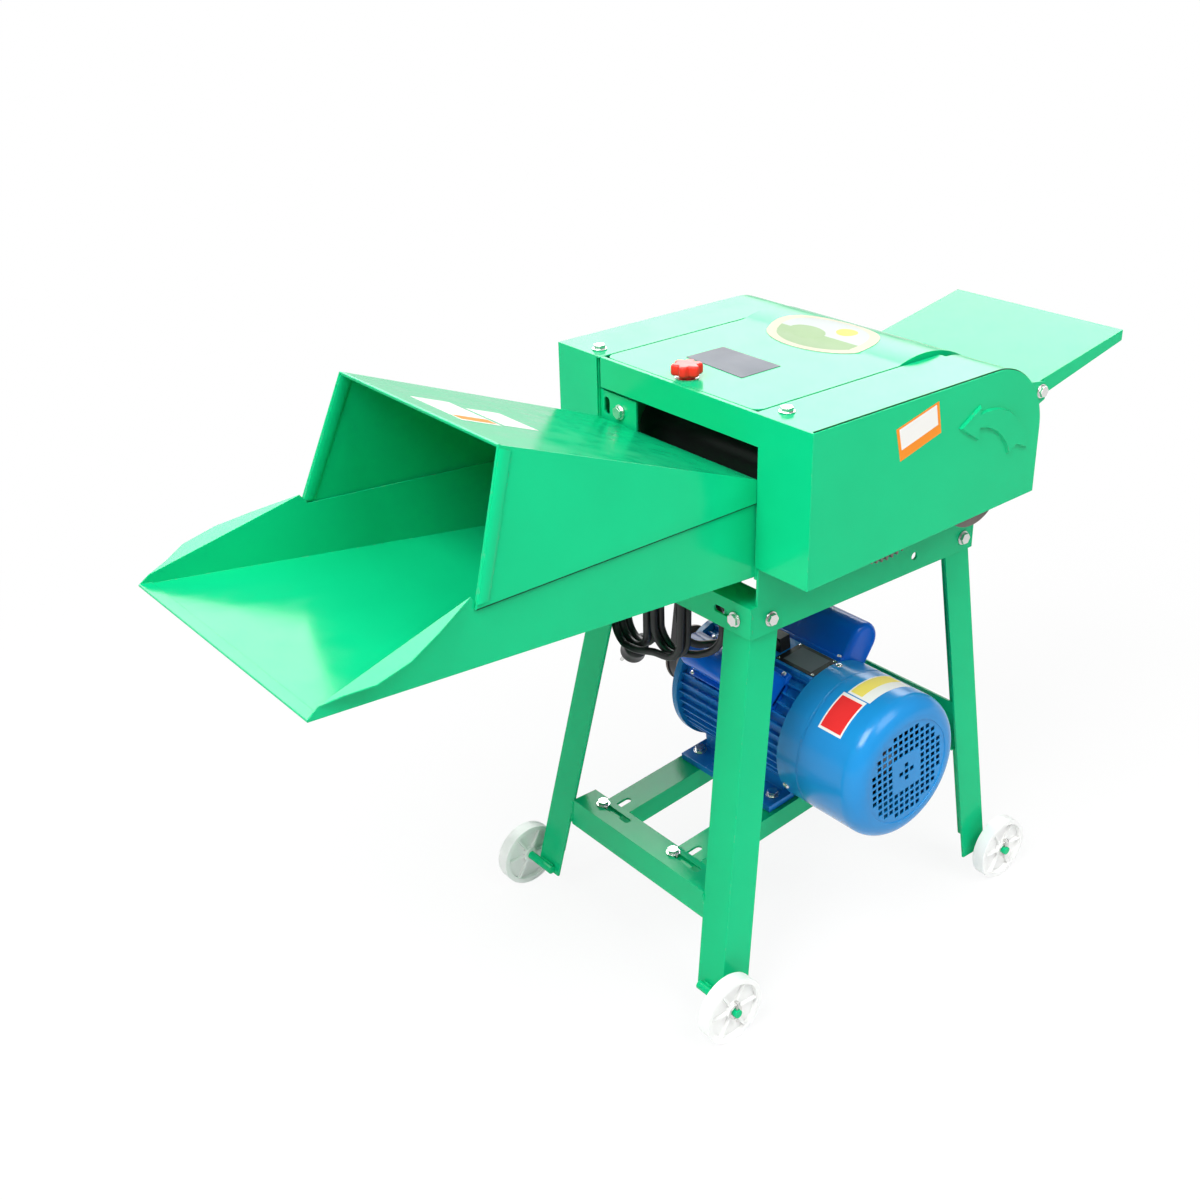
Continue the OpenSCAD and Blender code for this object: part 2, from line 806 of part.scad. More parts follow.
// Sheet cover on the far side, outer face at y
module cover(y, bolt) {
    difference() {
        union() {
            along_y(wall_out + 1, y - sheet) difference() {
                cover_outline(0);
                cover_outline(sheet);
            }
            along_y(y - sheet, y) cover_outline(0);
            box([0, lid_half + 2, cover_under], [cover_len - cover_round, wall_out + 2, cover_top]);
            box([0, wall_in + 0.5, cover_low], [sheet, wall_out + 2, cover_top]);
        }
        translate([bolt[0], bolt[1], cover_under - 1]) cylinder(r = bolt_r + close_fit, h = sheet + 2);
    }
}

lip_h = 34;

arrow_at = [257.6, 581.5];
arrow_t = 1.2;
arrow_r = 72.5;
arrow_in_r = 65;
arrow_in_at = [-19.4, -7.2];
arrow_tip = [-41, 63];
arrow_neck = -13;
arrow_head = [45, 79.5];
arrow_notch = [52.6, 23.5];
arrow_tail = [[70.9, 15.5], [41.3, 16.3]];

// Curved arrow raised on the near cover, which shows the turning direction, with a notched tail
module turn_arrow() {
    reach = 2 * arrow_r;
    tail_out = arrow_notch + 4 * (arrow_tail[0] - arrow_notch);
    tail_in = arrow_notch + 2.5 * (arrow_tail[1] - arrow_notch);
    polygon([arrow_tip, [arrow_neck, arrow_head[1]], [arrow_neck, arrow_head[0]]]);
    intersection() {
        difference() {
            circle(r = arrow_r);
            translate(arrow_in_at) circle(r = arrow_in_r);
        }
        polygon([
            [arrow_neck - 1, 0], [arrow_neck - 1, reach], [reach, reach], tail_out, arrow_notch, tail_in,
        ]);
    }
}

module gear_cover() {
    color(green) from_front() {
        mirror([0, 1, 0]) cover(near_cover_y, near_bolt);
        along_y(-near_cover_y - arrow_t, -near_cover_y) translate(arrow_at) turn_arrow();
        box([0, -wall_out, cover_top - lip_h], [sheet, wall_in - 6, cover_top]);
        box([0, -lid_half - 3, cover_under], [lid_front - 1, wall_in - 6, cover_top]);
        difference() {
            translate([0, knob_y, cover_top - latch_low])
                box([0, -latch_half, 0], [knob_x + 16, latch_half, latch_t]);
            translate([knob_x, knob_y, cover_top - 20]) cylinder(r = knob_stud_r + 2, h = 20);
        }
    }
}

module belt_cover() {
    color(green) from_front() cover(far_cover_y, far_bolt);
}

// Sector of a ring in X-Z, angles measured from +Z toward +X
module arc_sheet(x, z, r, t, a0, a1) {
    intersection() {
        translate([x, z]) difference() {
            circle(r = r);
            circle(r = r - t);
        }
        polygon([
            [x, z],
            for (k = [0 : 4]) let (a = a0 + (a1 - a0) * k / 4) [x + 2 * r * sin(a), z + 2 * r * cos(a)]
        ]);
    }
}

lid_arc_start = -acos((cover_top - lid_arc_z) / lid_arc_r);

module lid() {
    corner = 12;
    end_x = lid_arc_x + (lid_arc_r - sheet) * sin(lid_arc_end);
    end_z = lid_arc_z + (lid_arc_r - sheet) * cos(lid_arc_end);
    color(green) from_front() difference() {
        union() {
            translate([0, 0, cover_under]) linear_extrude(sheet) {
                translate([lid_front + corner, -lid_half])
                    square([lid_flat_end - lid_front - corner + 1, lid_w]);
                translate([lid_front, corner - lid_half]) square([corner + 1, lid_w - 2 * corner]);
                for (side = [-1, 1])
                    translate([lid_front + corner, side * (lid_half - corner)]) circle(r = corner);
            }
            translate([lid_front, 0, cover_top])
                box([0, corner - lid_half, -lid_lip], [sheet, lid_half - corner, 0]);
            along_y(-lid_half, lid_half)
                arc_sheet(lid_arc_x, lid_arc_z, lid_arc_r, sheet, lid_arc_start, lid_arc_end);
            both_sides() along_y(lid_half - sheet, lid_half) intersection() {
                translate([lid_arc_x, lid_arc_z]) circle(r = lid_arc_r);
                translate([lid_flat_end, cover_top - 14]) square([end_x - lid_flat_end - 20, 40]);
            }
            for (y = [-hinge_y, hinge_y], side = [-1, 1])
                translate([0, y + side * knuckle_w, 0]) {
                    bar_y(hinge_x, hinge_z, hinge_r, -knuckle_w / 2 + 0.3, knuckle_w / 2 - 0.3);
                    along_y(-knuckle_w / 2 + 0.3, knuckle_w / 2 - 0.3) polygon([
                        [end_x - 4, end_z + 5.5], [end_x - 3, end_z + 2.5],
                        [hinge_x - 1, hinge_z - 3], [hinge_x, hinge_z + 3]
                    ]);
                }
        }
        bar_y(hinge_x, hinge_z, hinge_pin_r + run_fit, -lid_half, lid_half);
        translate([knob_x, knob_y, cover_under - 2]) cylinder(r = knob_stud_r + run_fit, h = 10);
    }
}

// Direction down the rear panel
panel_top = [hinge_x + 3, hinge_z - 9];
panel_dir = unit([panel_end, pivot_z + 3] - panel_top);

// Fixed knuckles with their leaves, and the hinge pins
module lid_hinges() {
    normal = [panel_dir[1], -panel_dir[0]];
    color(green) from_front() for (y = [-hinge_y, hinge_y]) translate([0, y, 0]) {
        bar_y(hinge_x, hinge_z, hinge_pin_r, -1.5 * knuckle_w, 1.5 * knuckle_w);
        difference() {
            union() {
                bar_y(hinge_x, hinge_z, hinge_r, -knuckle_w / 2 + 0.3, knuckle_w / 2 - 0.3);
                along_y(-knuckle_w / 2 + 0.3, knuckle_w / 2 - 0.3) polygon([
                    [hinge_x - 1, hinge_z - 3.5], [hinge_x + 3, hinge_z + 2],
                    panel_top + panel_dir * 22 - normal * 2.5,
                    panel_top + panel_dir * 22,
                    panel_top + panel_dir * 2
                ]);
            }
            bar_y(hinge_x, hinge_z, hinge_pin_r, -knuckle_w, knuckle_w);
        }
    }
}

module rear_panel() {
    end = [panel_end, pivot_z + 3];
    color(green) from_front() along_y(-wall_in, wall_in) polygon([
        panel_top, end, end + [-1, -sheet], panel_top + [-1, -sheet]
    ]);
}

module star_knob() {
    color(red) from_front() translate([knob_x, knob_y, cover_top + side_gap]) {
        cylinder(r = knob_neck_r, h = knob_neck + 1);
        translate([0, 0, knob_neck]) difference() {
            cylinder(r = knob_r, h = knob_grip);
            for (a = [0 : 60 : 300])
                rotate(a) translate([knob_r + 2, 0, -1]) cylinder(r = knob_flute_r, h = knob_grip + 2);
        }
        translate([0, 0, -20]) cylinder(r = knob_stud_r, h = 21);
    }
}

module cover_bolts() {
    color(zinc) from_front() {
        translate([near_bolt[0], -near_bolt[1], cover_top]) hex_bolt(bolt_r, 12);
        translate([far_bolt[0], far_bolt[1], cover_top]) hex_bolt(bolt_r, 12);
        translate([bracket_x, bracket_bolt[0], bracket_bolt[1]]) rotate([0, -90, 0]) hex_bolt(bolt_r, 8);
        both_sides() translate([strip_bolt[0], wall_out, strip_bolt[1]]) rotate([-90, 0, 0])
            hex_bolt(bolt_r, wall_t + 3);
    }
}

// Slotted plate beside the throat
module roller_bracket() {
    color(green) from_front() difference() {
        box([bracket_x, bracket_y, bracket_z[0]], [bracket_x + steel_t, wall_in, bracket_z[1]]);
        along_x(bracket_x - 1, bracket_x + steel_t + 1) {
            translate(bracket_bolt) circle(r = bolt_r);
            for (z = [bracket_slot[1], bracket_slot[2]])
                translate([bracket_slot[0], z]) circle(r = bracket_slot_r);
            translate([bracket_slot[0] - bracket_slot_r, bracket_slot[1]])
                square([2 * bracket_slot_r, bracket_slot[2] - bracket_slot[1]]);
        }
    }
}

knife_top = main_z - 32;
knife_t = 6;
bed_t = 16;
bed_x = lower_x + lower_roller_r + 4;
guard_arc = [202, 246];
knife_edge = main_x - sqrt(pow(rotor_r + 1, 2) - pow(main_z - knife_top, 2));

// Bed under the knife and the curved guard under the rotor
module concave() {
    guard = rotor_r + 5;
    color(green) from_front() along_y(-wall_in, wall_in) {
        difference() {
            translate([bed_x - 2, knife_top - knife_t - bed_t]) square([knife_edge - bed_x + 8, bed_t]);
            translate([main_x, main_z]) circle(r = guard);
        }
        arc_sheet(main_x, main_z, guard + sheet, sheet, guard_arc[0], guard_arc[1]);
    }
}

module bed_knife() {
    color(steel) from_front() along_y(-wall_in, wall_in) polygon([
        [bed_x, knife_top - knife_t], [bed_x, knife_top],
        [knife_edge, knife_top], [knife_edge - knife_t / 2, knife_top - knife_t]
    ]);
}

module deflector() {
    run = deflector_end - deflector_root;
    root_z = deflector_lift - pivot_back * tan(deflector_rise);
    tip_z = root_z + run * tan(deflector_rise);
    color(green) from_front() difference() {
        union() {
            along_y(-deflector_half, deflector_half) polygon([
                [deflector_root, root_z], [deflector_end, tip_z],
                [deflector_end, tip_z - trough_t], [deflector_root, root_z - trough_t]
            ]);
            both_sides() along_y(deflector_half - trough_t, deflector_half) polygon([
                [deflector_root, root_z], [deflector_end, tip_z],
                [deflector_end, tip_z - deflector_tip_lip], [deflector_root, root_z - deflector_root_lip]
            ]);
        }
        bar_y(pivot_x, pivot_z, bolt_r + run_fit, -wall_out, wall_out);
    }
}

module pivot_bolts() {
    color(zinc) from_front() both_sides()
        translate([pivot_x, wall_out, pivot_z]) rotate([-90, 0, 0]) hex_bolt(bolt_r, wall_t + 6);
}

// Main shaft with its pinion
module main_shaft() {
    color(steel) from_front() {
        bar_y(main_x, main_z, main_r, -flywheel_plane[1] - 2, pulley_plane[1] + 3);
        translate([main_x, 0, main_z]) along_y(-drive_plane[1], -drive_plane[0])
            gear_outline(drive_module, counter_pinion_teeth, counter_angle);
    }
}

rotor_half = wall_in - 8;
arm_half = 8;
arm_end = rotor_r - 8;
disc_r = 52;
disc_half = 4;
blade_root = disc_r + 6;
blade_tip = sqrt(pow(rotor_r, 2) - pow(arm_half + blade_t, 2));

// Hub, discs and knife arms
module rotor() {
    color(iron) from_front() translate([main_x, 0, main_z]) difference() {
        union() {
            bar_y(0, 0, main_r + 8, -rotor_half, rotor_half);
            for (y = [2 * disc_half - rotor_half, 0, rotor_half - 2 * disc_half]) {
                bar_y(0, 0, disc_r, y - disc_half, y + disc_half);
                for (a = [0 : 90 : 270]) rotate([0, a, 0])
                    box([0, y - disc_half, -arm_half], [arm_end, y + disc_half, arm_half]);
            }
        }
        bar_y(0, 0, main_r, -rotor_half - 1, rotor_half + 1);
    }
}

module blades() {
    color(steel) from_front() translate([main_x, 0, main_z])
        for (a = [0 : 90 : 270]) rotate([0, a, 0]) along_y(-rotor_half, rotor_half) polygon([
            [blade_root, arm_half], [blade_tip - blade_t, arm_half],
            [blade_tip, arm_half + blade_t], [blade_root, arm_half + blade_t]
        ]);
}

module flywheel() {
    low = -flywheel_plane[1];
    high = -flywheel_plane[0];
    color(iron) from_front() {
        ring_y(main_x, main_z, flywheel_r, flywheel_r - flywheel_rim, low, high);
        ring_y(main_x, main_z, flywheel_r - flywheel_rim + 1, main_r + 6, low + 4, high - 4);
        ring_y(main_x, main_z, main_r + 8, main_r, low, high);
    }
}

// V-belt pulley on the Y axis
module pulley(x, z, r, bore) {
    mid = (pulley_plane[0] + pulley_plane[1]) / 2;
    half = (pulley_plane[1] - pulley_plane[0]) / 2;
    belt_half = (belt_plane[1] - belt_plane[0]) / 2 + 0.3;
    translate([x, mid, z]) rotate([-90, 0, 0]) difference() {
        rotate_extrude() polygon([
            [bore, -half], [r, -half], [r, -belt_half], [r - groove, -belt_half],
            [r - groove, belt_half], [r, belt_half], [r, half], [bore, half]
        ]);
        if (r > 60)
            for (a = [0 : 72 : 288])
                rotate(a) translate([r * 0.5, 0, -half - 1]) cylinder(r = r * 0.17, h = 2 * half + 2);
    }
}

module main_pulley() {
    color(iron) from_front() pulley(main_x, main_z, big_pulley_r, main_r);
}

// Flange bearings of the main shaft and bushes of the countershaft and lower roller
module bearings() {
    color(iron) from_front() both_sides() {
        difference() {
            union() {
                bar_y(main_x, main_z, main_r + 18, wall_out, wall_out + 5);
                bar_y(main_x, main_z, main_r + 10, wall_out, bearing_out);
            }
            bar_y(main_x, main_z, main_r + run_fit, wall_in, bearing_out + 1);
        }
        for (p = [[counter_x, counter_z], [lower_x, lower_z]]) difference() {
            union() {
                bar_y(p[0], p[1], feed_shaft_r + 3, wall_in, wall_out + 1);
                bar_y(p[0], p[1], feed_shaft_r + 6, wall_out, bush_out);
            }
            bar_y(p[0], p[1], feed_shaft_r + run_fit, wall_in - 1, bush_out + 1);
        }
    }
}

// Countershaft with its chain sprocket
module countershaft() {
    color(steel) from_front() {
        bar_y(counter_x, counter_z, feed_shaft_r, -drive_plane[1] - 3, chain_plane[1] + 1);
        bar_y(counter_x, counter_z, small_sprocket_r, chain_plane[0], chain_plane[1]);
    }
}

module reduction_gear() {
    pitch = drive_module * counter_gear_teeth / 2;
    half_step = 180 / counter_gear_teeth;
    color(iron) from_front() translate([counter_x, 0, counter_z]) difference() {
        along_y(-drive_plane[1], -drive_plane[0]) difference() {
            gear_outline(drive_module, counter_gear_teeth, counter_angle + 180 + half_step);
            circle(r = feed_shaft_r);
            for (a = [0 : 60 : 300]) rotate(a) translate([pitch * 0.55, 0]) circle(r = pitch * 0.2);
        }
    }
}

module lower_roller() {
    color(black) from_front() {
        bar_y(lower_x, lower_z, feed_shaft_r, -bush_out - 2, roller_plane[1] + 2);
        bar_y(lower_x, lower_z, lower_roller_r - 2, -roller_half, roller_half);
        for (a = [0 : 45 : 315]) translate([lower_x, 0, lower_z]) rotate([0, a, 0])
            box([lower_roller_r - 6, 1 - roller_half, -3], [lower_roller_r, roller_half - 1, 3]);
    }
}

// Sprocket and gear on the lower roller's far end
module lower_gear() {
    color(iron) from_front() translate([lower_x, 0, lower_z]) {
        along_y(roller_plane[0], roller_plane[1]) difference() {
            gear_outline(roller_module, lower_teeth, 90);
            circle(r = feed_shaft_r);
        }
        along_y(chain_plane[0], chain_plane[1]) difference() {
            circle(r = large_sprocket_r);
            circle(r = feed_shaft_r);
        }
        ring_y(0, 0, feed_shaft_r + 6, feed_shaft_r, chain_plane[1] - 1, roller_plane[0] + 1);
    }
}

module feed_chain() {
    color(iron) from_front() band(
        [counter_x, counter_z], small_sprocket_r + side_gap, [lower_x, lower_z], large_sprocket_r + side_gap,
        chain_t, chain_plane[0], chain_plane[1]
    );
}

module upper_roller() {
    color(black) from_front() {
        bar_y(upper_x, upper_z, feed_shaft_r, -wall_out - 3, roller_plane[1] + 2);
        bar_y(upper_x, upper_z, upper_roller_r, 1 - roller_half, roller_half - 1);
    }
}

module upper_gear() {
    color(iron) from_front() translate([upper_x, 0, upper_z])
        along_y(roller_plane[0], roller_plane[1]) difference() {
            gear_outline(roller_module, upper_teeth, 270 + 180 / upper_teeth);
            circle(r = feed_shaft_r);
        }
}

// Blocks that carry the upper roller and slide in the walls' slots
module slide_blocks() {
    color(iron) from_front() both_sides() difference() {
        union() {
            box([upper_x - block_half, wall_in - 4, upper_z - block_half],
                [upper_x + block_half, wall_out + 2.5, upper_z + block_half]);
            box([upper_x - 9, wall_out, spring_low - 4], [upper_x + 9, spring_y + 5, spring_low]);
        }
        bar_y(upper_x, upper_z, feed_shaft_r + run_fit, wall_in - 10, wall_out + 20);
    }
}

// Path of one roller spring
function spring_path() =
    let (turns = 6, low = spring_low + spring_wire + 0.1, high = spring_top - spring_wire - 0.1)
    [for (i = [0 : turns * 8])
        [
            upper_x + spring_r * cos(45 * i), spring_y + spring_r * sin(45 * i),
            low + (high - low) * i / (turns * 8)
        ]];

module feed_springs() {
    color(steel) from_front() both_sides() tube(spring_path(), spring_wire, [0, 0, 1], cord_sides);
}

// Sheet piece with its X-Z outline as the first child and its X-Y outline as the second
module sheet_piece() {
    intersection() {
        along_y(-axle_end, axle_end) children(0);
        translate([0, 0, frame_z]) linear_extrude(hood_top - frame_z) children(1);
    }
}

pan_tip = -trough_len;
pan_inner = 30;
hem_w = 13;
hem_half = 1;
lip_front = pan_tip + 11;
lip_rear = -358;
lip_front_z = pan_z(lip_front) + 9.5;
lip_rise = 41 / 159;
lip_rear_z = lip_front_z + (lip_rear - lip_front) * lip_rise;
pan_under_hood = 612;
pan_rear_top = 600;
strip_top = 598;

// Trough floor with a folded hem at its open end
module pan_floor() {
    half = trough_root_half;
    sheet_piece() {
        polygon([
            [pan_tip, pan_z(pan_tip)], [pan_inner, pan_z(pan_inner)],
            [pan_inner, pan_z(pan_inner) - trough_t], [pan_tip, pan_z(pan_tip) - trough_t]
        ]);
        polygon([
            [pan_tip, -trough_half], [0, -half], [pan_inner, -half],
            [pan_inner, half], [0, half], [pan_tip, trough_half]
        ]);
    }
    sheet_piece() {
        polygon([
            [pan_tip, pan_z(pan_tip) + hem_half], [pan_tip + hem_w, pan_z(pan_tip + hem_w) + hem_half],
            [pan_tip + hem_w, pan_z(pan_tip + hem_w) - hem_half], [pan_tip, pan_z(pan_tip) - hem_half]
        ]);
        polygon([[pan_tip, -trough_half], [0, -half], [0, half], [pan_tip, trough_half]]);
    }
}

// Upright side of the trough pan and its outward lip, on the far side
module pan_side() {
    half = trough_root_half;
    lip_x = [lip_front, lip_front + 21, lip_front + 45, lip_front + 79, lip_front + 114, lip_rear];
    lip_out = [0, 8, 22, 24, 15, 0];
    sheet_piece() {
        polygon([
            [pan_tip, pan_z(pan_tip)], [lip_front, lip_front_z], [lip_rear, lip_rear_z],
            [lip_rear + 8, pan_under_hood], [0, pan_rear_top],
            [wall_front + 1, pan_rear_top], [wall_front + 1, pan_z(0) - trough_t],
            [pan_tip, pan_z(pan_tip) - trough_t]
        ]);
        polygon([
            [pan_tip, trough_half], [0, half], [wall_front + 1, half],
            [wall_front + 1, half - trough_t], [0, half - trough_t], [pan_tip, trough_half - trough_t]
        ]);
    }
    sheet_piece() {
        polygon([
            [lip_front, lip_front_z], [lip_rear, lip_rear_z],
            [lip_rear, lip_rear_z - trough_t], [lip_front, lip_front_z - trough_t]
        ]);
        polygon([for (i = [0 : 5]) [lip_x[i], pan_half(lip_x[i]) + lip_out[i] - 0.5]]);
    }
}

// Trough floor and sides with the strips that are bolted between the side walls
module trough_pan() {
    color(green) from_front() {
        pan_floor();
        both_sides() {
            pan_side();
            difference() {
                box([wall_front, trough_root_half - trough_t, pan_z(pan_inner) - trough_t],
                    [pan_inner, wall_in, strip_top]);
                bar_y(strip_bolt[0], strip_bolt[1], bolt_r, wall_in - 10, wall_in + 10);
            }
        }
    }
}

// Wedge under the hood's top, drawn in by t and opened at front, rear and below by more
module hood_wedge(t, more) {
    low_half = pan_half(-hood_low) + hood_seat + trough_t - t + more * hood_flare;
    rear_half = wall_in - t;
    rear = sheet - close_fit + more;
    pts = [
        for (s = [-1, 1])
            each [
                [-hood_front - more, s * (hood_half - t), hood_top - t + more * hood_fall],
                [-hood_low - more, s * low_half, hood_low_z - more],
                [rear, s * rear_half, hood_rear_z[0] - more],
                [rear, s * rear_half, hood_rear_z[1] - t - more * hood_fall]
            ]
    ];
    polyhedron(points = pts, faces = [
        [0, 3, 1], [1, 3, 2], [4, 5, 7], [5, 6, 7],
        [0, 7, 3], [0, 4, 7], [0, 5, 4], [0, 1, 5], [1, 6, 5], [1, 2, 6], [2, 7, 6], [2, 3, 7]
    ]);
}

module trough_hood() {
    color(green) from_front() difference() {
        hood_wedge(0, 0);
        hood_wedge(trough_t, 12);
    }
}

// Finned motor body with its cast feet
module motor_body() {
    fins = 40;
    color(blue) on_motor() difference() {
        union() {
            along_y(body_y[0], body_y[1]) {
                circle(r = motor_r - fin_depth);
                for (i = [0 : fins - 1])
                    rotate(i * 360 / fins) translate([0, -fin_w / 2]) square([motor_r, fin_w]);
            }
            both_sides_x() {
                box([foot_span - foot_in, near_rail_y - foot_side, -motor_h],
                    [foot_span + foot_out, far_rail_y + foot_side, foot_t - motor_h]);
                box([foot_span - foot_in, near_rail_y - 4, -motor_h],
                    [foot_span - foot_in + 8, far_rail_y + 4, -20]);
            }
            box([-pad_half, body_y[0], 30], [pad_half, body_y[1] - 30, motor_r + 3]);
        }
        bar_y(0, 0, armature_r + 1, body_y[0] - 1, body_y[1] + 1);
        for (x = [-foot_span, foot_span], y = [near_rail_y, far_rail_y])
            translate([x, y, -motor_h - 1]) cylinder(r = bolt_r + hole_fit, h = foot_t + 2);
    }
}

module both_sides_x() {
    for (side = [0, 1]) mirror([side, 0, 0]) children();
}

// Drive-end shield
module motor_shield() {
    color(blue) on_motor() difference() {
        union() {
            bar_y(0, 0, motor_r + 4, body_y[1], body_y[1] + 9);
            translate([0, body_y[1] + 9, 0]) rotate([-90, 0, 0])
                cylinder(r1 = motor_r, r2 = motor_shaft_r + 20, h = shield_y - body_y[1] - 9);
            bar_y(0, 0, motor_shaft_r + 14, body_y[1], shield_y + 6);
        }
        bar_y(0, 0, motor_shaft_r + run_fit, body_y[1] - 1, shield_y + 10);
    }
}

grille_r = 57;
grille_pitch = 8.8;
grille_hole = 6;
grille_reach = 6;
dish_r = 64;
dish_depth = 1.2;

// Whether the grille has a hole in column i and row j
function has_hole(i, j) =
    norm([i, j]) * grille_pitch < grille_r && (max(abs(i), abs(j)) > 2 || abs(i) + abs(j) < 2);

// Half section of the fan cover, drawn in by t
module fan_cover_section(t) {
    round = 22;
    r = fan_cover_r;
    translate([-t, round]) square([r, fan_cover_len - round + t]);
    translate([-t, t]) square([r - round + t, round]);
    intersection() {
        translate([r - round, round]) circle(r = round - t);
        translate([r - round - 1, 0]) square([round + 1, round + 1]);
    }
}

// Pressed fan cover with a dished grille at its end
module fan_cover() {
    t = 1.6;
    color(sky) on_motor() translate([0, -axle_end, 0]) difference() {
        rotate([-90, 0, 0]) rotate_extrude() difference() {
            fan_cover_section(0);
            difference() {
                fan_cover_section(t);
                square([dish_r + t, dish_depth + t]);
            }
            translate([-1, -1]) square([dish_r + 1, dish_depth + 1]);
            translate([fan_cover_r - 0.6, fan_cover_len - 34]) square([2, 2.5]);
        }
        along_y(-5, 5)
            for (i = [-grille_reach : grille_reach], j = [-grille_reach : grille_reach])
                if (has_hole(i, j))
                    translate([i, j] * grille_pitch) square(grille_hole, center = true);
    }
}

motor_tail = -axle_end + 30;

// Motor shaft with its armature
module motor_shaft() {
    color(steel) on_motor() {
        bar_y(0, 0, motor_shaft_r, motor_tail, pulley_plane[1] + 2);
        bar_y(0, 0, armature_r, body_y[0] + 20, body_y[1] - 16);
    }
}

module cooling_fan() {
    far = fan_front_y - 10;
    near = motor_tail + 2;
    color(black) on_motor() difference() {
        union() {
            bar_y(0, 0, motor_shaft_r + 8, near, far);
            bar_y(0, 0, fan_r, far - 4, far);
            for (a = [0 : 45 : 315]) rotate([0, a, 0]) box([10, near + 6, -1.5], [fan_r, far, 1.5]);
        }
        bar_y(0, 0, motor_shaft_r, near - 1, far + 1);
    }
}

module motor_pulley() {
    color(iron) on_motor() pulley(0, 0, small_pulley_r, motor_shaft_r);
}

module drive_belt() {
    color(black) from_front() band(
        [motor_axis_x, motor_axis_z], small_pulley_r - belt_seat, [main_x, main_z], big_pulley_r - belt_seat,
        belt_t, belt_plane[0], belt_plane[1]
    );
}

// Round-topped capacitor cover seated on the motor body
module capacitor(angle, y, r) {
    rotate([0, angle, 0]) difference() {
        along_y(y[0], y[1]) {
            translate([-cap_half, motor_r - 20]) square([2 * cap_half, r - motor_r + 20]);
            translate([0, r]) circle(r = cap_half);
            translate([-cap_half - 6, motor_r - 4]) square([2 * cap_half + 12, 8]);
        }
        bar_y(0, 0, motor_r + 0.05, y[0] - 1, y[1] + 1);
        cap_pad_cut(angle);
    }
}

// Room for the nameplate pad on top of the motor
module cap_pad_cut(angle) {
    rotate([0, -angle, 0]) box([-pad_half, body_y[0], 30], [pad_half, body_y[1] - 30, motor_r + 3]);
}

module front_capacitor() {
    color(blue) on_motor() capacitor(-cap_angle, front_cap_y, front_cap_r);
}

module rear_capacitor() {
    color(blue) on_motor() capacitor(cap_angle, rear_cap_y, rear_cap_r);
}

// Cable entry on top of the motor with its gland toward the feed end
module cord_gland() {
    nut = gland_reach - 6;
    color(black) on_motor() translate([0, gland_y, 0]) {
        box([-8, -9, motor_r + 3], [8, 9, gland_z + 9]);
        translate([-nut, 0, gland_z]) rotate([0, 90, 0]) cylinder(r = cord_r + 4, h = nut - 7);
        translate([-gland_reach, 0, gland_z]) rotate([0, 90, 0]) cylinder(r = cord_r + 2, h = 7);
    }
}

// Point given from the motor's axis along the rails, across them and square to them
function motor_point(p) =
    let (x = motor_along + p[0], z = motor_h + p[2])
    [
        rail_origin_x + x * cos(rail_tilt) - z * sin(rail_tilt), p[1],
        rail_origin_z + x * sin(rail_tilt) + z * cos(rail_tilt)
    ];

gland_end = motor_point([-gland_reach, gland_y, gland_z]);
gland_lead = motor_point([-gland_reach - 2 * cord_r, gland_y, gland_z]);

// Where the hank starts, at the bottom of its right lobe
hank_start = [hank_x, right_lobe_y, right_lobe_low];

// Free stretch from the gland over the front capacitor, once round behind the front rail
// and into the hank
cord_route = [
    gland_lead, [118, 4, 347], [101, 18, 350], [82, 28, 349], [63, 34, 353], [49, 37, 366],
    [43, 38, 386], [41, 37, 406], [40, 30, 425], [40, 17, 437], [41, 1, 440], [42, -15, 436],
    [43, -28, 424], [43, -34, 406], [43, -30, 388], [42, -18, 373], [39, -2, 363], [35, 9, 360],
    hank_start - [0, 2 * cord_r, 0]
];
cord_path = concat([gland_end], curve(cord_route, 4), [hank_start]);

module power_cord() {
    color(black) from_front() tube(cord_path, cord_r, [0, 1, 0], 8);
}

// Point k of a lobe's loops, which start at its bottom and have round ends and straight sides.
// Each half loop has as many points as the other, and a loop moves by pitch along x.
function lobe_point(x, y, low, pitch, k) =
    let (
        half = hank_rings / 2,
        at = k + (half - 1) / 2,
        end = floor(at / half),
        angle = 180 * (end + (at - half * end) / (half - 1)) - 90,
        centre = end % 2 == 0 ? low + lobe_r : lobe_top_z - lobe_r
    )
    [x + pitch * k / hank_rings, y + lobe_r * sin(angle), centre - lobe_r * cos(angle)];

// Loops of the right lobe, climbing toward the front rail, then over to the left lobe's loops,
// which climb back, and off its bottom to the plug
left_x = hank_x - right_loops * hank_pitch;
tail_x = left_x + left_loops * hank_pitch;
plug_dir = unit([0.15, 0.6, -0.78]);
plug_start = [tail_x + 4, left_lobe_y + 20, left_lobe_low - 12];

hank_path = concat(
    [hank_start, hank_start + [0, cord_r, 0]],
    [for (k = [1.5 : right_loops * hank_rings - 1])
        lobe_point(hank_x, right_lobe_y, right_lobe_low, -hank_pitch, k)],
    [for (t = [0 : 0.25 : 0.75])
        [left_x, right_lobe_y + (left_lobe_y - right_lobe_y) * t,
            right_lobe_low + (left_lobe_low - right_lobe_low) * (3 - 2 * t) * t * t]],
    [for (k = [0.5 : left_loops * hank_rings - 2])
        lobe_point(left_x, left_lobe_y, left_lobe_low, hank_pitch, k)],
    [plug_start - 2 * cord_r * plug_dir, plug_start]
);

// Least distance between two stretches of a path that lie more than skip points apart
function path_gap(path, skip) =
    min([for (i = [0 : len(path) - 1]) for (j = [i + skip : 1 : len(path) - 1]) norm(path[i] - path[j])]);

echo(str("least gap of the hank to itself ", path_gap(hank_path, 8) - 2 * cord_r));

module cord_hank() {
    color(black) from_front() tube(hank_path, cord_r, [1, 0, 0], cord_sides);
}

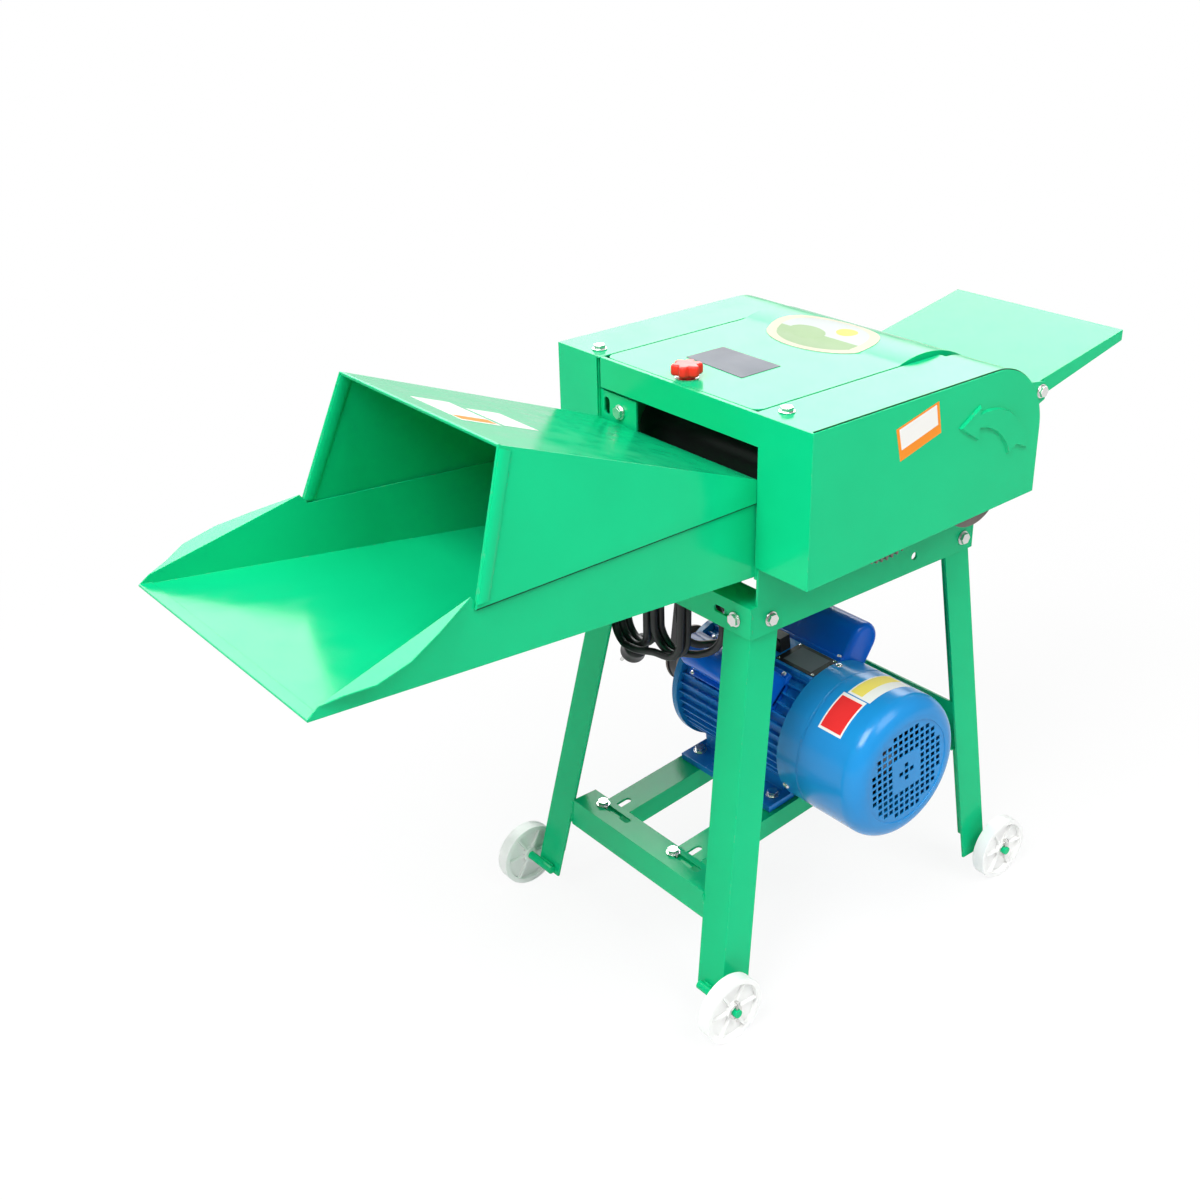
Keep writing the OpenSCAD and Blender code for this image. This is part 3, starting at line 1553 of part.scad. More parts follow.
plug_len = 34;
plug_turn = atan2(norm([plug_dir[0], plug_dir[1]]), plug_dir[2]);

// Round mains plug with two pins
module plug() {
    color(black) from_front() translate(plug_start)
        rotate([0, plug_turn, atan2(plug_dir[1], plug_dir[0])]) {
            cylinder(r1 = cord_r + 2, r2 = 12, h = 12);
            translate([0, 0, 12]) cylinder(r = 16, h = plug_len - 12);
            for (side = [-1, 1]) translate([0, side * 9.5, plug_len - 1]) cylinder(r = 2.4, h = 20);
        }
}

// Straps under the front rail that the hank's two lobes hang in
module cord_hook() {
    strap_t = 1.5;
    room = cord_r + 0.6;
    low = lobe_top_z - cord_r - 0.3;
    color(green) from_front()
        for (lobe = [[right_lobe_y, left_x, hank_x], [left_lobe_y, left_x, tail_x]])
            difference() {
                box([lobe[1] - room - strap_t, lobe[0] - 4, low - strap_t],
                    [lobe[2] + room + strap_t, lobe[0] + 4, leg_top]);
                box([lobe[1] - room, lobe[0] - 5, low], [lobe[2] + room, lobe[0] + 5, leg_top - strap_t]);
            }
}

near_side_wall();
far_side_wall();
front_rail();
rear_rail();
front_legs();
rear_legs();
front_bar();
rear_bar();
near_motor_rail();
far_motor_rail();
frame_bolts();
motor_bolts();
wheel_front_near();
wheel_front_far();
wheel_rear_near();
wheel_rear_far();
wheel_pins();
gear_cover();
belt_cover();
lid();
lid_hinges();
rear_panel();
star_knob();
cover_bolts();
roller_bracket();
concave();
bed_knife();
deflector();
pivot_bolts();
main_shaft();
rotor();
blades();
flywheel();
main_pulley();
bearings();
countershaft();
reduction_gear();
lower_roller();
lower_gear();
feed_chain();
upper_roller();
upper_gear();
slide_blocks();
feed_springs();
trough_pan();
trough_hood();
motor_body();
motor_shield();
fan_cover();
motor_shaft();
cooling_fan();
motor_pulley();
drive_belt();
front_capacitor();
rear_capacitor();
cord_gland();
power_cord();
cord_hank();
plug();
cord_hook();
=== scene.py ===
"""Looks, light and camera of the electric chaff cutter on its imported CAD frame."""
import json
import math

import bmesh
import bpy
from mathutils import Matrix, Vector
from mathutils.bvhtree import BVHTree


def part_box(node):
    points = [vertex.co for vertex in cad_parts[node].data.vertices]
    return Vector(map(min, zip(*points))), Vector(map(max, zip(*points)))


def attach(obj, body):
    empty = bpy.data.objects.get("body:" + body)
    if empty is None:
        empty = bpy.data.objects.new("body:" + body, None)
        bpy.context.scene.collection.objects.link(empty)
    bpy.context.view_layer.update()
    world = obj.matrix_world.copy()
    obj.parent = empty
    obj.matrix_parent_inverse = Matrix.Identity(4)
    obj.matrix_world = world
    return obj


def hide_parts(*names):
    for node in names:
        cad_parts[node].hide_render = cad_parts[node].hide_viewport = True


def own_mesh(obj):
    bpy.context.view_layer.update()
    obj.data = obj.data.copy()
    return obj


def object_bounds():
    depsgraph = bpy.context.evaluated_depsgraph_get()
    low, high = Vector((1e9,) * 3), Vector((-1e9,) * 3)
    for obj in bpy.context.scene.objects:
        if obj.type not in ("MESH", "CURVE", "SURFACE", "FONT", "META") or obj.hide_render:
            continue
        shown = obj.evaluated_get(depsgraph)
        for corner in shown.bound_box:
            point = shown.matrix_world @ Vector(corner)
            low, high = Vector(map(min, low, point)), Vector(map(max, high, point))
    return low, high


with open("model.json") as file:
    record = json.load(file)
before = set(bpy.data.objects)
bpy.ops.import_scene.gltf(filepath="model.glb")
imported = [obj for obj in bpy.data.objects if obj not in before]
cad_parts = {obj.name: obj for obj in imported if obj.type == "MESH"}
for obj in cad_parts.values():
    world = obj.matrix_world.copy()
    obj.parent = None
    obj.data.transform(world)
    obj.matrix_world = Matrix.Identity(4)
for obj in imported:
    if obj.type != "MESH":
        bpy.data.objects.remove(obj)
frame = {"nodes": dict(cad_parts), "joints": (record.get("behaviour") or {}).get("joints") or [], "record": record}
cad_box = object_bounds()

# Sizes are in millimetres; what comes from the frame and the places of camera and lights are in metres
MM = 0.001
NODES = frame["nodes"]
JOINTS = {joint["name"]: joint for joint in frame["joints"]}
ALONG = Vector((1, 0, 0))
ACROSS = Vector((0, 1, 0))
UP = Vector((0, 0, 1))
SIDES = ((-1, "near"), (1, "far"))
COVER_LOW, COVER_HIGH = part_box("gear_cover")
COVER_TOP = COVER_HIGH.z / MM
COVER_LEN = (COVER_HIGH.x - COVER_LOW.x) / MM
COVER_ROUND = 80
COVER_Y = -200
HOOD_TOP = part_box("trough_hood")[1].z / MM


def spot(x, y, z):
    """A place in millimetres from the covers' front face, as a point of the shared frame."""
    return Vector((COVER_LOW.x + x * MM, y * MM, z * MM))


def shares(count):
    """Even shares of a way, from 0 to 1."""
    return [k / count for k in range(count + 1)]


# Camera
CAMERA_AT = Vector((-1.0198, -1.13133, 1.1989))
CAMERA_YAW = math.radians(52.15)
CAMERA_PITCH = math.radians(26.71)
CAMERA_ROLL = math.radians(-1.57)
CAMERA_LENS = 45.7
CAMERA_SENSOR = 36


def add_camera():
    ahead = Vector((
        math.cos(CAMERA_PITCH) * math.cos(CAMERA_YAW),
        math.cos(CAMERA_PITCH) * math.sin(CAMERA_YAW),
        -math.sin(CAMERA_PITCH),
    ))
    level = Vector((math.sin(CAMERA_YAW), -math.cos(CAMERA_YAW), 0))
    up = level.cross(ahead)
    right = math.cos(CAMERA_ROLL) * level + math.sin(CAMERA_ROLL) * up
    top = math.cos(CAMERA_ROLL) * up - math.sin(CAMERA_ROLL) * level
    data = bpy.data.cameras.new("Camera")
    data.lens = CAMERA_LENS
    data.sensor_width = CAMERA_SENSOR
    camera = bpy.data.objects.new("Camera", data)
    bpy.context.collection.objects.link(camera)
    turn = Matrix((right, top, -ahead)).transposed().to_4x4()
    camera.matrix_world = Matrix.Translation(CAMERA_AT) @ turn
    bpy.context.scene.camera = camera


add_camera()


# Materials: noise scales for a metre, and the noise values between which a look changes
TONE_SCALE = 9
WAVE_SCALE = 11
GLOSS_SCALE = 34
GRIME_SCALE = 55
CHIP_SCALE = 170
EVEN_NOISE = (0.3, 0.7)
GRIME_NOISE = (0.52, 0.72)
CHIP_NOISE = (0.56, 0.66)
CHIP_WIDTH = 1.6
# Cosines of the turn at an edge where wear begins and where it is full
EDGE_COSINES = (0.995, 0.9)


def feed(tree, value, socket):
    """Sets a socket to a value, or links another node's output to it."""
    if isinstance(value, bpy.types.NodeSocket):
        tree.links.new(value, socket)
    else:
        socket.default_value = value


def put(tree, kind, settings=None, **inputs):
    """A shader node with its settings and inputs; an input is a value or another node's output."""
    node = tree.nodes.new(kind)
    for key, value in (settings or {}).items():
        setattr(node, key, value)
    for key, value in inputs.items():
        feed(tree, value, node.inputs[key.replace("_", " ")])
    return node


def noise(tree, place, scale, detail=2.0, stretch=None):
    if stretch:
        place = put(tree, "ShaderNodeMapping", Vector=place, Scale=stretch).outputs[0]
    return put(tree, "ShaderNodeTexNoise", Vector=place, Scale=scale, Detail=detail).outputs[0]


def span(tree, value, before, after):
    """A value between the first two numbers, brought to between the other two."""
    return put(
        tree, "ShaderNodeMapRange", Value=value, From_Min=before[0], From_Max=before[1],
        To_Min=after[0], To_Max=after[1],
    ).outputs[0]


def worked(tree, operation, a, b, clamp=False):
    """Two values multiplied, added or the like."""
    node = put(tree, "ShaderNodeMath", {"operation": operation, "use_clamp": clamp})
    feed(tree, a, node.inputs[0])
    feed(tree, b, node.inputs[1])
    return node.outputs[0]


def mixed(tree, share, a, b):
    """A colour between two; the mix node has its share and its colours in sockets 0, 6 and 7."""
    node = put(tree, "ShaderNodeMix", {"data_type": "RGBA"})
    for index, value in ((0, share), (6, a), (7, b)):
        feed(tree, value, node.inputs[index])
    return node.outputs[2]


def worn_edges(tree, place):
    """High at convex and concave edges, broken up by noise."""
    bevel = put(tree, "ShaderNodeBevel", Radius=CHIP_WIDTH * MM).outputs[0]
    plain = put(tree, "ShaderNodeNewGeometry").outputs["Normal"]
    dot = put(tree, "ShaderNodeVectorMath", {"operation": "DOT_PRODUCT"})
    feed(tree, bevel, dot.inputs[0])
    feed(tree, plain, dot.inputs[1])
    edge = span(tree, dot.outputs["Value"], EDGE_COSINES, (0, 1))
    broken = span(tree, noise(tree, place, CHIP_SCALE, 6), CHIP_NOISE, (0, 1))
    return worked(tree, "MULTIPLY", edge, broken)


def surface(
    name, colour, metallic=0.0, rough=0.3, spread=0.06, tone=0.06, specular=0.5, peel_scale=420, peel=0.06,
    wave=0.0, worn=None, wear=0.0, grime=None, grime_share=0.0, stretch=None,
):
    """A material with uneven tone and gloss, fine relief, and worn edges where they are asked for."""
    material = bpy.data.materials.new(name)
    material.use_nodes = True
    tree = material.node_tree
    shader = tree.nodes["Principled BSDF"]
    place = put(tree, "ShaderNodeTexCoord").outputs["Object"]
    broad = span(tree, noise(tree, place, TONE_SCALE, 4, stretch), EVEN_NOISE, (1 - tone, 1 + tone))
    tint = put(tree, "ShaderNodeHueSaturation", Value=broad, Color=(*colour, 1)).outputs[0]
    if grime:
        spots = span(tree, noise(tree, place, GRIME_SCALE, 8), GRIME_NOISE, (0, grime_share))
        tint = mixed(tree, spots, tint, (*grime, 1))
    if worn:
        chips = worked(tree, "MULTIPLY", worn_edges(tree, place), wear)
        tint = mixed(tree, chips, tint, (*worn, 1))
    patches = noise(tree, place, GLOSS_SCALE, 5, stretch)
    gloss = span(tree, patches, EVEN_NOISE, (rough - spread, rough + spread))
    grain = noise(tree, place, peel_scale, 2, stretch)
    relief = put(tree, "ShaderNodeBump", Strength=1.0, Distance=peel * MM, Height=grain).outputs[0]
    if wave:
        dents = noise(tree, place, WAVE_SCALE, 1)
        relief = put(
            tree, "ShaderNodeBump", Strength=1.0, Distance=wave * MM, Height=dents, Normal=relief
        ).outputs[0]
    for key, value in (
        ("Base Color", tint), ("Roughness", gloss), ("Normal", relief), ("Metallic", metallic),
        ("Specular IOR Level", specular),
    ):
        feed(tree, value, shader.inputs[key])
    return material


def label(name, colour):
    return surface(name, colour, rough=0.45, tone=0.03, peel_scale=300, peel=0.03, specular=0.03)


BARE = (0.22, 0.23, 0.22)
GREEN = surface(
    "green_enamel", (0.003, 0.49, 0.20), rough=0.17, tone=0.035, specular=0.13, peel=0.08, wave=0.14,
    worn=BARE, wear=0.35,
)
BLUE = surface(
    "blue_enamel", (0.010, 0.21, 0.64), rough=0.26, specular=0.3, peel=0.12, wave=0.3,
    worn=BARE, wear=0.25,
)
DEEP_BLUE = surface(
    "deep_blue_enamel", (0.002, 0.135, 0.70), rough=0.22, specular=0.25, peel=0.1, wave=0.5,
    worn=BARE, wear=0.2,
)
SKY = surface(
    "sky_blue_enamel", (0.012, 0.225, 0.55), rough=0.2, specular=0.3, peel=0.1, wave=0.4,
    worn=BARE, wear=0.25,
)
ROLLER = surface("black_enamel", (0.012, 0.012, 0.013), rough=0.34, peel=0.12, worn=(0.3, 0.3, 0.3), wear=0.5)
ZINC = surface(
    "zinc_plate", (0.70, 0.70, 0.68), metallic=1.0, rough=0.26, spread=0.1, tone=0.1,
    peel_scale=600, peel=0.04,
)
STEEL = surface(
    "ground_steel", (0.46, 0.46, 0.47), metallic=1.0, rough=0.33, spread=0.08, tone=0.12, peel_scale=300,
    peel=0.04, stretch=(1, 0.06, 1), grime=(0.10, 0.07, 0.04), grime_share=0.25,
)
IRON = surface(
    "grey_iron", (0.17, 0.15, 0.135), metallic=0.55, rough=0.55, spread=0.1, tone=0.2,
    peel_scale=260, peel=0.3, grime=(0.12, 0.055, 0.025), grime_share=0.45,
)
RUBBER = surface(
    "black_rubber", (0.012, 0.012, 0.013), rough=0.46, spread=0.1, tone=0.2, peel_scale=700, peel=0.05,
)
MOULDING = surface("black_moulding", (0.014, 0.014, 0.015), rough=0.4, tone=0.15, peel_scale=800, peel=0.04)
RED = surface(
    "red_moulding", (0.74, 0.028, 0.016), rough=0.34, tone=0.05, specular=0.3, peel_scale=500, peel=0.03,
)
WHITE = surface(
    "white_moulding", (0.86, 0.86, 0.85), rough=0.42, tone=0.03, peel_scale=500, peel=0.03,
    grime=(0.45, 0.44, 0.41), grime_share=0.08,
)
PAPER = label("label_white", (0.76, 0.75, 0.72))
CREAM = label("label_cream", (0.58, 0.55, 0.43))
SKY_PRINT = label("label_sky", (0.50, 0.54, 0.53))
MEADOW = label("label_meadow", (0.30, 0.42, 0.24))
ORANGE = label("label_orange", (0.80, 0.26, 0.03))
YELLOW = label("label_yellow", (0.80, 0.66, 0.13))
LABEL_RED = label("label_red", (0.70, 0.03, 0.03))
PLATE = surface(
    "grey_plate", (0.13, 0.145, 0.17), rough=0.45, tone=0.12, peel_scale=300, peel=0.04, specular=0.08,
)
# Painted shade: a dark green laid along gaps and seams where they lie in shadow
SEAM_SHADE = surface("seam_shadow", (0.004, 0.07, 0.03), rough=0.6, specular=0.05, peel=0.03)
BLACK_PLATE = surface(
    "black_plate", (0.012, 0.012, 0.014), metallic=0.3, rough=0.3, tone=0.15, peel_scale=300, peel=0.04,
)


# CAD nodes: their materials, and small rounds on their edges
SLOT_MATERIALS = {
    "green_paint": GREEN, "blue_paint": BLUE, "sky_blue_paint": SKY, "black_paint": ROLLER,
    "zinc_steel": ZINC, "bare_steel": STEEL, "grey_iron": IRON, "black_rubber": RUBBER,
    "black_plastic": MOULDING, "red_plastic": RED, "white_plastic": WHITE,
}
NODE_SLOTS = {part["node"]: part["material_slot"] for part in frame["record"]["subparts"]}
SHEET_NODES = (
    "near_side_wall", "far_side_wall", "gear_cover", "belt_cover", "lid", "rear_panel", "concave",
    "deflector", "trough_pan", "trough_hood", "roller_bracket", "fan_cover",
)
CAST_NODES = ("motor_body", "motor_shield", "front_capacitor", "rear_capacitor", "bearings")
SHEET_EDGE = 0.5
CAST_EDGE = 0.9
OTHER_EDGE = 0.4
WELD_GAP = 0.01
FLAT_TURN = math.radians(0.6)
EDGE_TURN = math.radians(32)
FACE_WEIGHT = 90


def soften(node, width):
    """Small round on a CAD node's sharp edges, with the large faces kept flat."""
    weld = node.modifiers.new("weld", "WELD")
    weld.merge_threshold = WELD_GAP * MM
    flat = node.modifiers.new("flat", "DECIMATE")
    flat.decimate_type = "DISSOLVE"
    flat.angle_limit = FLAT_TURN
    bevel = node.modifiers.new("edges", "BEVEL")
    bevel.width = width * MM
    bevel.segments = 2
    bevel.limit_method = "ANGLE"
    bevel.angle_limit = EDGE_TURN
    bevel.use_clamp_overlap = False
    shade = node.modifiers.new("shade", "WEIGHTED_NORMAL")
    shade.weight = FACE_WEIGHT


def dress_nodes():
    for name, node in NODES.items():
        node.data.materials.clear()
        node.data.materials.append(SKY if name == "motor_shield" else SLOT_MATERIALS[NODE_SLOTS[name]])
        if name in SHEET_NODES:
            soften(node, SHEET_EDGE)
        elif name in CAST_NODES:
            soften(node, CAST_EDGE)
        else:
            soften(node, OTHER_EDGE)


dress_nodes()


# Builders of pieces
SHARP_TURN = math.radians(38)
CORD_SMOOTHNESS = 5


def keep(obj, body, material):
    """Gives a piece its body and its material."""
    obj.data.materials.append(material)
    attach(obj, body)
    return obj


def mesh_piece(name, points, faces, smooth=True):
    data = bpy.data.meshes.new(name)
    data.from_pydata(points, [], faces)
    work = bmesh.new()
    work.from_mesh(data)
    bmesh.ops.recalc_face_normals(work, faces=work.faces)
    work.to_mesh(data)
    work.free()
    data.polygons.foreach_set("use_smooth", [smooth] * len(data.polygons))
    data.set_sharp_from_angle(angle=SHARP_TURN)
    obj = bpy.data.objects.new(name, data)
    bpy.context.collection.objects.link(obj)
    return obj


def cord_piece(name, points, radius):
    """A round cord along a line of points."""
    data = bpy.data.curves.new(name, "CURVE")
    data.dimensions = "3D"
    data.bevel_depth = radius * MM
    data.bevel_resolution = CORD_SMOOTHNESS
    data.use_fill_caps = True
    line = data.splines.new("POLY")
    line.points.add(len(points) - 1)
    for point, place in zip(line.points, points):
        point.co = (*place, 1)
    line.use_smooth = True
    obj = bpy.data.objects.new(name, data)
    bpy.context.collection.objects.link(obj)
    return obj


def through(points, steps):
    """Points of a smooth line through the given ones, with the first and last kept."""
    places = [points[0] * 2 - points[1], *points, points[-1] * 2 - points[-2]]
    line = []
    for a, b, c, d in zip(places, places[1:], places[2:], places[3:]):
        for step in range(steps):
            t = step / steps
            line.append(0.5 * (
                2 * b + (c - a) * t + (2 * a - 5 * b + 4 * c - d) * t * t + (3 * b - a - 3 * c + d) * t ** 3
            ))
    return line + [points[-1]]


def skin(rings, base=0):
    """Points and faces of a closed skin over rings of as many points each, numbered from base."""
    count = len(rings[0])
    points = [point for ring in rings for point in ring]
    last = base + len(points)
    faces = [list(range(base, base + count)), list(range(last - count, last))]
    for i in range(len(rings) - 1):
        for j in range(count):
            a, b = base + i * count + j, base + i * count + (j + 1) % count
            faces.append((a, b, b + count, a + count))
    return points, faces


def rings_piece(name, rings, smooth=True):
    return mesh_piece(name, *skin(rings), smooth)


def square_to(direction):
    """Two directions square to the given one and to each other."""
    side = direction.cross(UP)
    if side.length < 0.1:
        side = direction.cross(ALONG)
    side.normalize()
    return side, direction.cross(side)


def ring_at(place, side, other, radius, count):
    """Points of a ring in the plane of two directions."""
    angles = [math.tau * k / count for k in range(count)]
    return [place + radius * (math.cos(angle) * side + math.sin(angle) * other) for angle in angles]


def turned(name, place, direction, profile, count=32):
    """A turned piece; its profile gives distances along the direction and radii."""
    side, other = square_to(direction)
    rings = [ring_at(place + direction * along * MM, side, other, r * MM, count) for along, r in profile]
    return rings_piece(name, rings)


def tube_rings(points, radii, count=8):
    """Rings of points round a line, square to it."""
    rings = []
    side = None
    for i, point in enumerate(points):
        ahead = (points[min(i + 1, len(points) - 1)] - points[max(i - 1, 0)]).normalized()
        side = square_to(ahead)[0] if side is None else (side - ahead * side.dot(ahead)).normalized()
        rings.append(ring_at(point, side, ahead.cross(side), radii[i] * MM, count))
    return rings


def rod(name, line, radius, count=8):
    """A round rod along a line."""
    return rings_piece(name, tube_rings(line, [radius] * len(line), count))


# Mains cord: from the gland over the front rail, round the two lobes of the hank, to the plug
CORD_R = 4.5
MOTOR_AXIS = Vector(JOINTS["motor_spin"]["pos_m"])
MOTOR_TILT = math.radians(6.3)
MOTOR_ALONG = Vector((math.cos(MOTOR_TILT), 0, math.sin(MOTOR_TILT)))
MOTOR_ABOVE = Vector((-math.sin(MOTOR_TILT), 0, math.cos(MOTOR_TILT)))
GLAND_REACH = 22
GLAND_LEAD = 9
GLAND_Y = -6
GLAND_RISE = 92
HANK_X = 30
HANK_PITCH = 2 * CORD_R + 1.2
LOBE_R = 26
LOBE_TOP = 455
# Each lobe's middle across, its lowest height and its loops
RIGHT_LOBE = (28, 359, 2)
LEFT_LOBE = (93, 345, 3)
LOOP_POINTS = 24
# The cord joins each lobe's loops this many points after the lowest one
RIGHT_FROM = 1.5
LEFT_FROM = 0.5
CROSSING_STEPS = 4
PLUG_PAST_LOBE = (4, 20, -12)
PLUG_WAY = Vector((0.15, 0.6, -0.78)).normalized()
SLEEVE_RIBS = 5
SLEEVE_R = 6.2
SLEEVE_WIDENS = 0.5
RIB_PITCH = 2.4
RIB_DEPTH = 0.9
PLUG_SHELL = (
    (12, 11.6), (13.4, 14.6), (15.5, 15.8), (20, 15.2), (28, 15.2), (31, 15.8), (33.2, 15.4), (34, 14),
)
PLUG_PIN = ((33, 2.3), (51, 2.3), (52.5, 1.7), (53, 0.6))
PIN_OFF_MIDDLE = 9.5


def on_motor(x, y, z):
    """A place in millimetres from the motor's axis, in the tilted motor's own directions."""
    return MOTOR_AXIS + (x * MOTOR_ALONG + y * ACROSS + z * MOTOR_ABOVE) * MM


def lobe_point(x, lobe, pitch, k):
    """Point k of a lobe's loops, counted from its lowest point; each loop moves on by the pitch."""
    y, low, _ = lobe
    half = LOOP_POINTS // 2
    turn = k + (half - 1) / 2
    end = math.floor(turn / half)
    angle = math.radians(180 * (end + (turn - half * end) / (half - 1)) - 90)
    middle = low + LOBE_R if end % 2 == 0 else LOBE_TOP - LOBE_R
    return spot(x + pitch * k / LOOP_POINTS, y + LOBE_R * math.sin(angle), middle - LOBE_R * math.cos(angle))


def cord_line():
    """The cord's centre line, and the place of the plug at its end."""
    right_y, right_low, right_loops = RIGHT_LOBE
    left_y, left_low, left_loops = LEFT_LOBE
    left_x = HANK_X - right_loops * HANK_PITCH
    tail_x = left_x + left_loops * HANK_PITCH
    start = spot(HANK_X, right_y, right_low)
    plug_at = spot(tail_x + PLUG_PAST_LOBE[0], left_y + PLUG_PAST_LOBE[1], left_low + PLUG_PAST_LOBE[2])
    lead = [
        on_motor(-GLAND_REACH - GLAND_LEAD, GLAND_Y, GLAND_RISE),
        spot(118, 4, 347), spot(101, 18, 350), spot(82, 28, 349), spot(63, 34, 353), spot(49, 37, 366),
        spot(43, 38, 386), spot(41, 37, 406), spot(40, 30, 425), spot(40, 17, 437), spot(41, 1, 440),
        spot(42, -15, 436), spot(43, -28, 424), spot(43, -34, 406), spot(43, -30, 388), spot(42, -18, 373),
        spot(39, -2, 363), spot(35, 9, 360), start - 2 * CORD_R * MM * ACROSS,
    ]
    hank = [start, start + CORD_R * MM * ACROSS]
    for k in range(right_loops * LOOP_POINTS - 2):
        hank.append(lobe_point(HANK_X, RIGHT_LOBE, -HANK_PITCH, k + RIGHT_FROM))
    for share in shares(CROSSING_STEPS)[:-1]:
        ease = (3 - 2 * share) * share * share
        y = right_y + (left_y - right_y) * share
        z = right_low + (left_low - right_low) * ease
        hank.append(spot(left_x, y, z))
    for k in range(left_loops * LOOP_POINTS - 2):
        hank.append(lobe_point(left_x, LEFT_LOBE, HANK_PITCH, k + LEFT_FROM))
    hank += [plug_at - 2 * CORD_R * MM * PLUG_WAY, plug_at]
    line = [on_motor(-GLAND_REACH, GLAND_Y, GLAND_RISE)] + through(lead, 8) + through(hank, 3)
    return line, plug_at


def add_plug(at):
    """Plug with a ribbed sleeve and two bare pins."""
    sleeve = []
    for k in range(SLEEVE_RIBS):
        radius = SLEEVE_R + SLEEVE_WIDENS * k
        sleeve += [(RIB_PITCH * k, radius), (RIB_PITCH * (k + 0.5), radius - RIB_DEPTH)]
    body = turned("plug_body", at, PLUG_WAY, [*sleeve, *PLUG_SHELL], 40)
    keep(body, "frame", MOULDING)
    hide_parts("plug")
    other = square_to(PLUG_WAY)[0]
    pins = []
    for side in (-1, 1):
        pin = turned(f"plug_pin_{side + 1}", at + other * side * PIN_OFF_MIDDLE * MM, PLUG_WAY, PLUG_PIN, 16)
        pins.append(keep(pin, "frame", ZINC))
    return [body, *pins]


cord_points, plug_place = cord_line()
cord = cord_piece("mains_cord", cord_points, CORD_R)
keep(cord, "frame", RUBBER)
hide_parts("power_cord", "cord_hank")
add_plug(plug_place)


# Labels and plates, laid on the CAD surfaces
THROW = 30


def face_tree(node):
    data = NODES[node].data
    return BVHTree.FromPolygons([v.co for v in data.vertices], [list(p.vertices) for p in data.polygons])


def laid(name, tree, rows, toward, lift, thick, ring=False):
    """A thin plate on a surface: rows of points, each thrown onto it along a direction.
    The thickness is one number, or one for each point across."""
    across = len(rows[0])
    thicks = thick if isinstance(thick, tuple) else (thick,) * across
    low, high = [], []
    for row in rows:
        for point, depth in zip(row, thicks):
            way = toward(point) if callable(toward) else toward
            hit, normal, _, _ = tree.ray_cast(point - way * THROW * MM, way)
            if normal.dot(way) > 0:
                normal = -normal
            low.append(hit + normal * lift * MM)
            high.append(hit + normal * (lift + depth) * MM)
    count = len(low)
    faces = []
    last = across if ring else across - 1
    for i in range(len(rows) - 1):
        for j in range(last):
            a, b = i * across + j, i * across + (j + 1) % across
            c, d = b + across, a + across
            faces += [(a, b, c, d), (a + count, d + count, c + count, b + count)]
    for j in range(last):
        a, b = j, (j + 1) % across
        faces.append((a, a + count, b + count, b))
        a, b = a + count - across, b + count - across
        faces.append((a, b, b + count, a + count))
    if not ring:
        for i in range(len(rows) - 1):
            a, b = i * across, (i + 1) * across
            faces.append((a, b, b + count, a + count))
            a, b = a + across - 1, b + across - 1
            faces.append((a, a + count, b + count, b))
    return mesh_piece(name, low + high, faces, smooth=False)


def patch(corners, across=4, down=4, inset=0.0, part=(0.0, 1.0)):
    """Grid of points between four corners; part keeps a share of the way from the first edge to the last."""
    a, b, c, d = corners
    rows = []
    for share in shares(down):
        v = inset + (1 - 2 * inset) * (part[0] + (part[1] - part[0]) * share)
        row = []
        for step in shares(across):
            u = inset + (1 - 2 * inset) * step
            row.append(a.lerp(b, u).lerp(d.lerp(c, u), v))
        rows.append(row)
    return rows


def oval(centre, half_x, half_y, sizes, count=64):
    """Rings of points of an oval lying flat, at these shares of its size."""
    return [ring_at(centre, half_x * MM * ALONG, half_y * MM * ACROSS, size, count) for size in sizes]


# How far a sticker and a print on it lie above the surface, and their thickness
STICKER = (0.05, 0.2)
PRINT = (0.26, 0.08)
lid_tree = face_tree("lid")
cover_tree = face_tree("gear_cover")
hood_tree = face_tree("trough_hood")
fan_tree = face_tree("fan_cover")

LID_PLATE = ((68, 56), (121, 55), (120, -35), (63, -36))
LID_PLATE_LIE = (0.05, 0.5)
BADGE = spot(228, 9, COVER_TOP)
BADGE_HALF = (50, 72)
BADGE_RING = (0.82, 0.91, 1.0)
BADGE_FIELD = 0.83
# The square of the field's size as a share of the badge
FIELD_SQUARE = 0.7
HORIZON = -0.1
SUN_AT = BADGE + Vector((16, -22, 0)) * MM
SUN_HALF = (11, 13)
HILL_AT = BADGE + Vector((-6, 18, 0)) * MM
HILL_HALF = (13, 26)
FULL_OVAL = (0.05, 0.5, 1.0)
BORDER_LIE = (0.1, 0.4)
FIELD_LIE = (0.1, 0.3)
DOT_LIE = (0.42, 0.1)


def badge_band(low, high):
    """Part of the badge's inner oval between two shares of its half length."""
    rows = []
    for step in shares(8):
        share = low + (high - low) * step
        reach = math.sqrt(max(FIELD_SQUARE - share * share, 0.0004)) * BADGE_HALF[1] * MM
        middle = BADGE + share * BADGE_HALF[0] * MM * ALONG
        rows.append([middle + reach * (2 * across - 1) * ACROSS for across in shares(16)])
    return rows


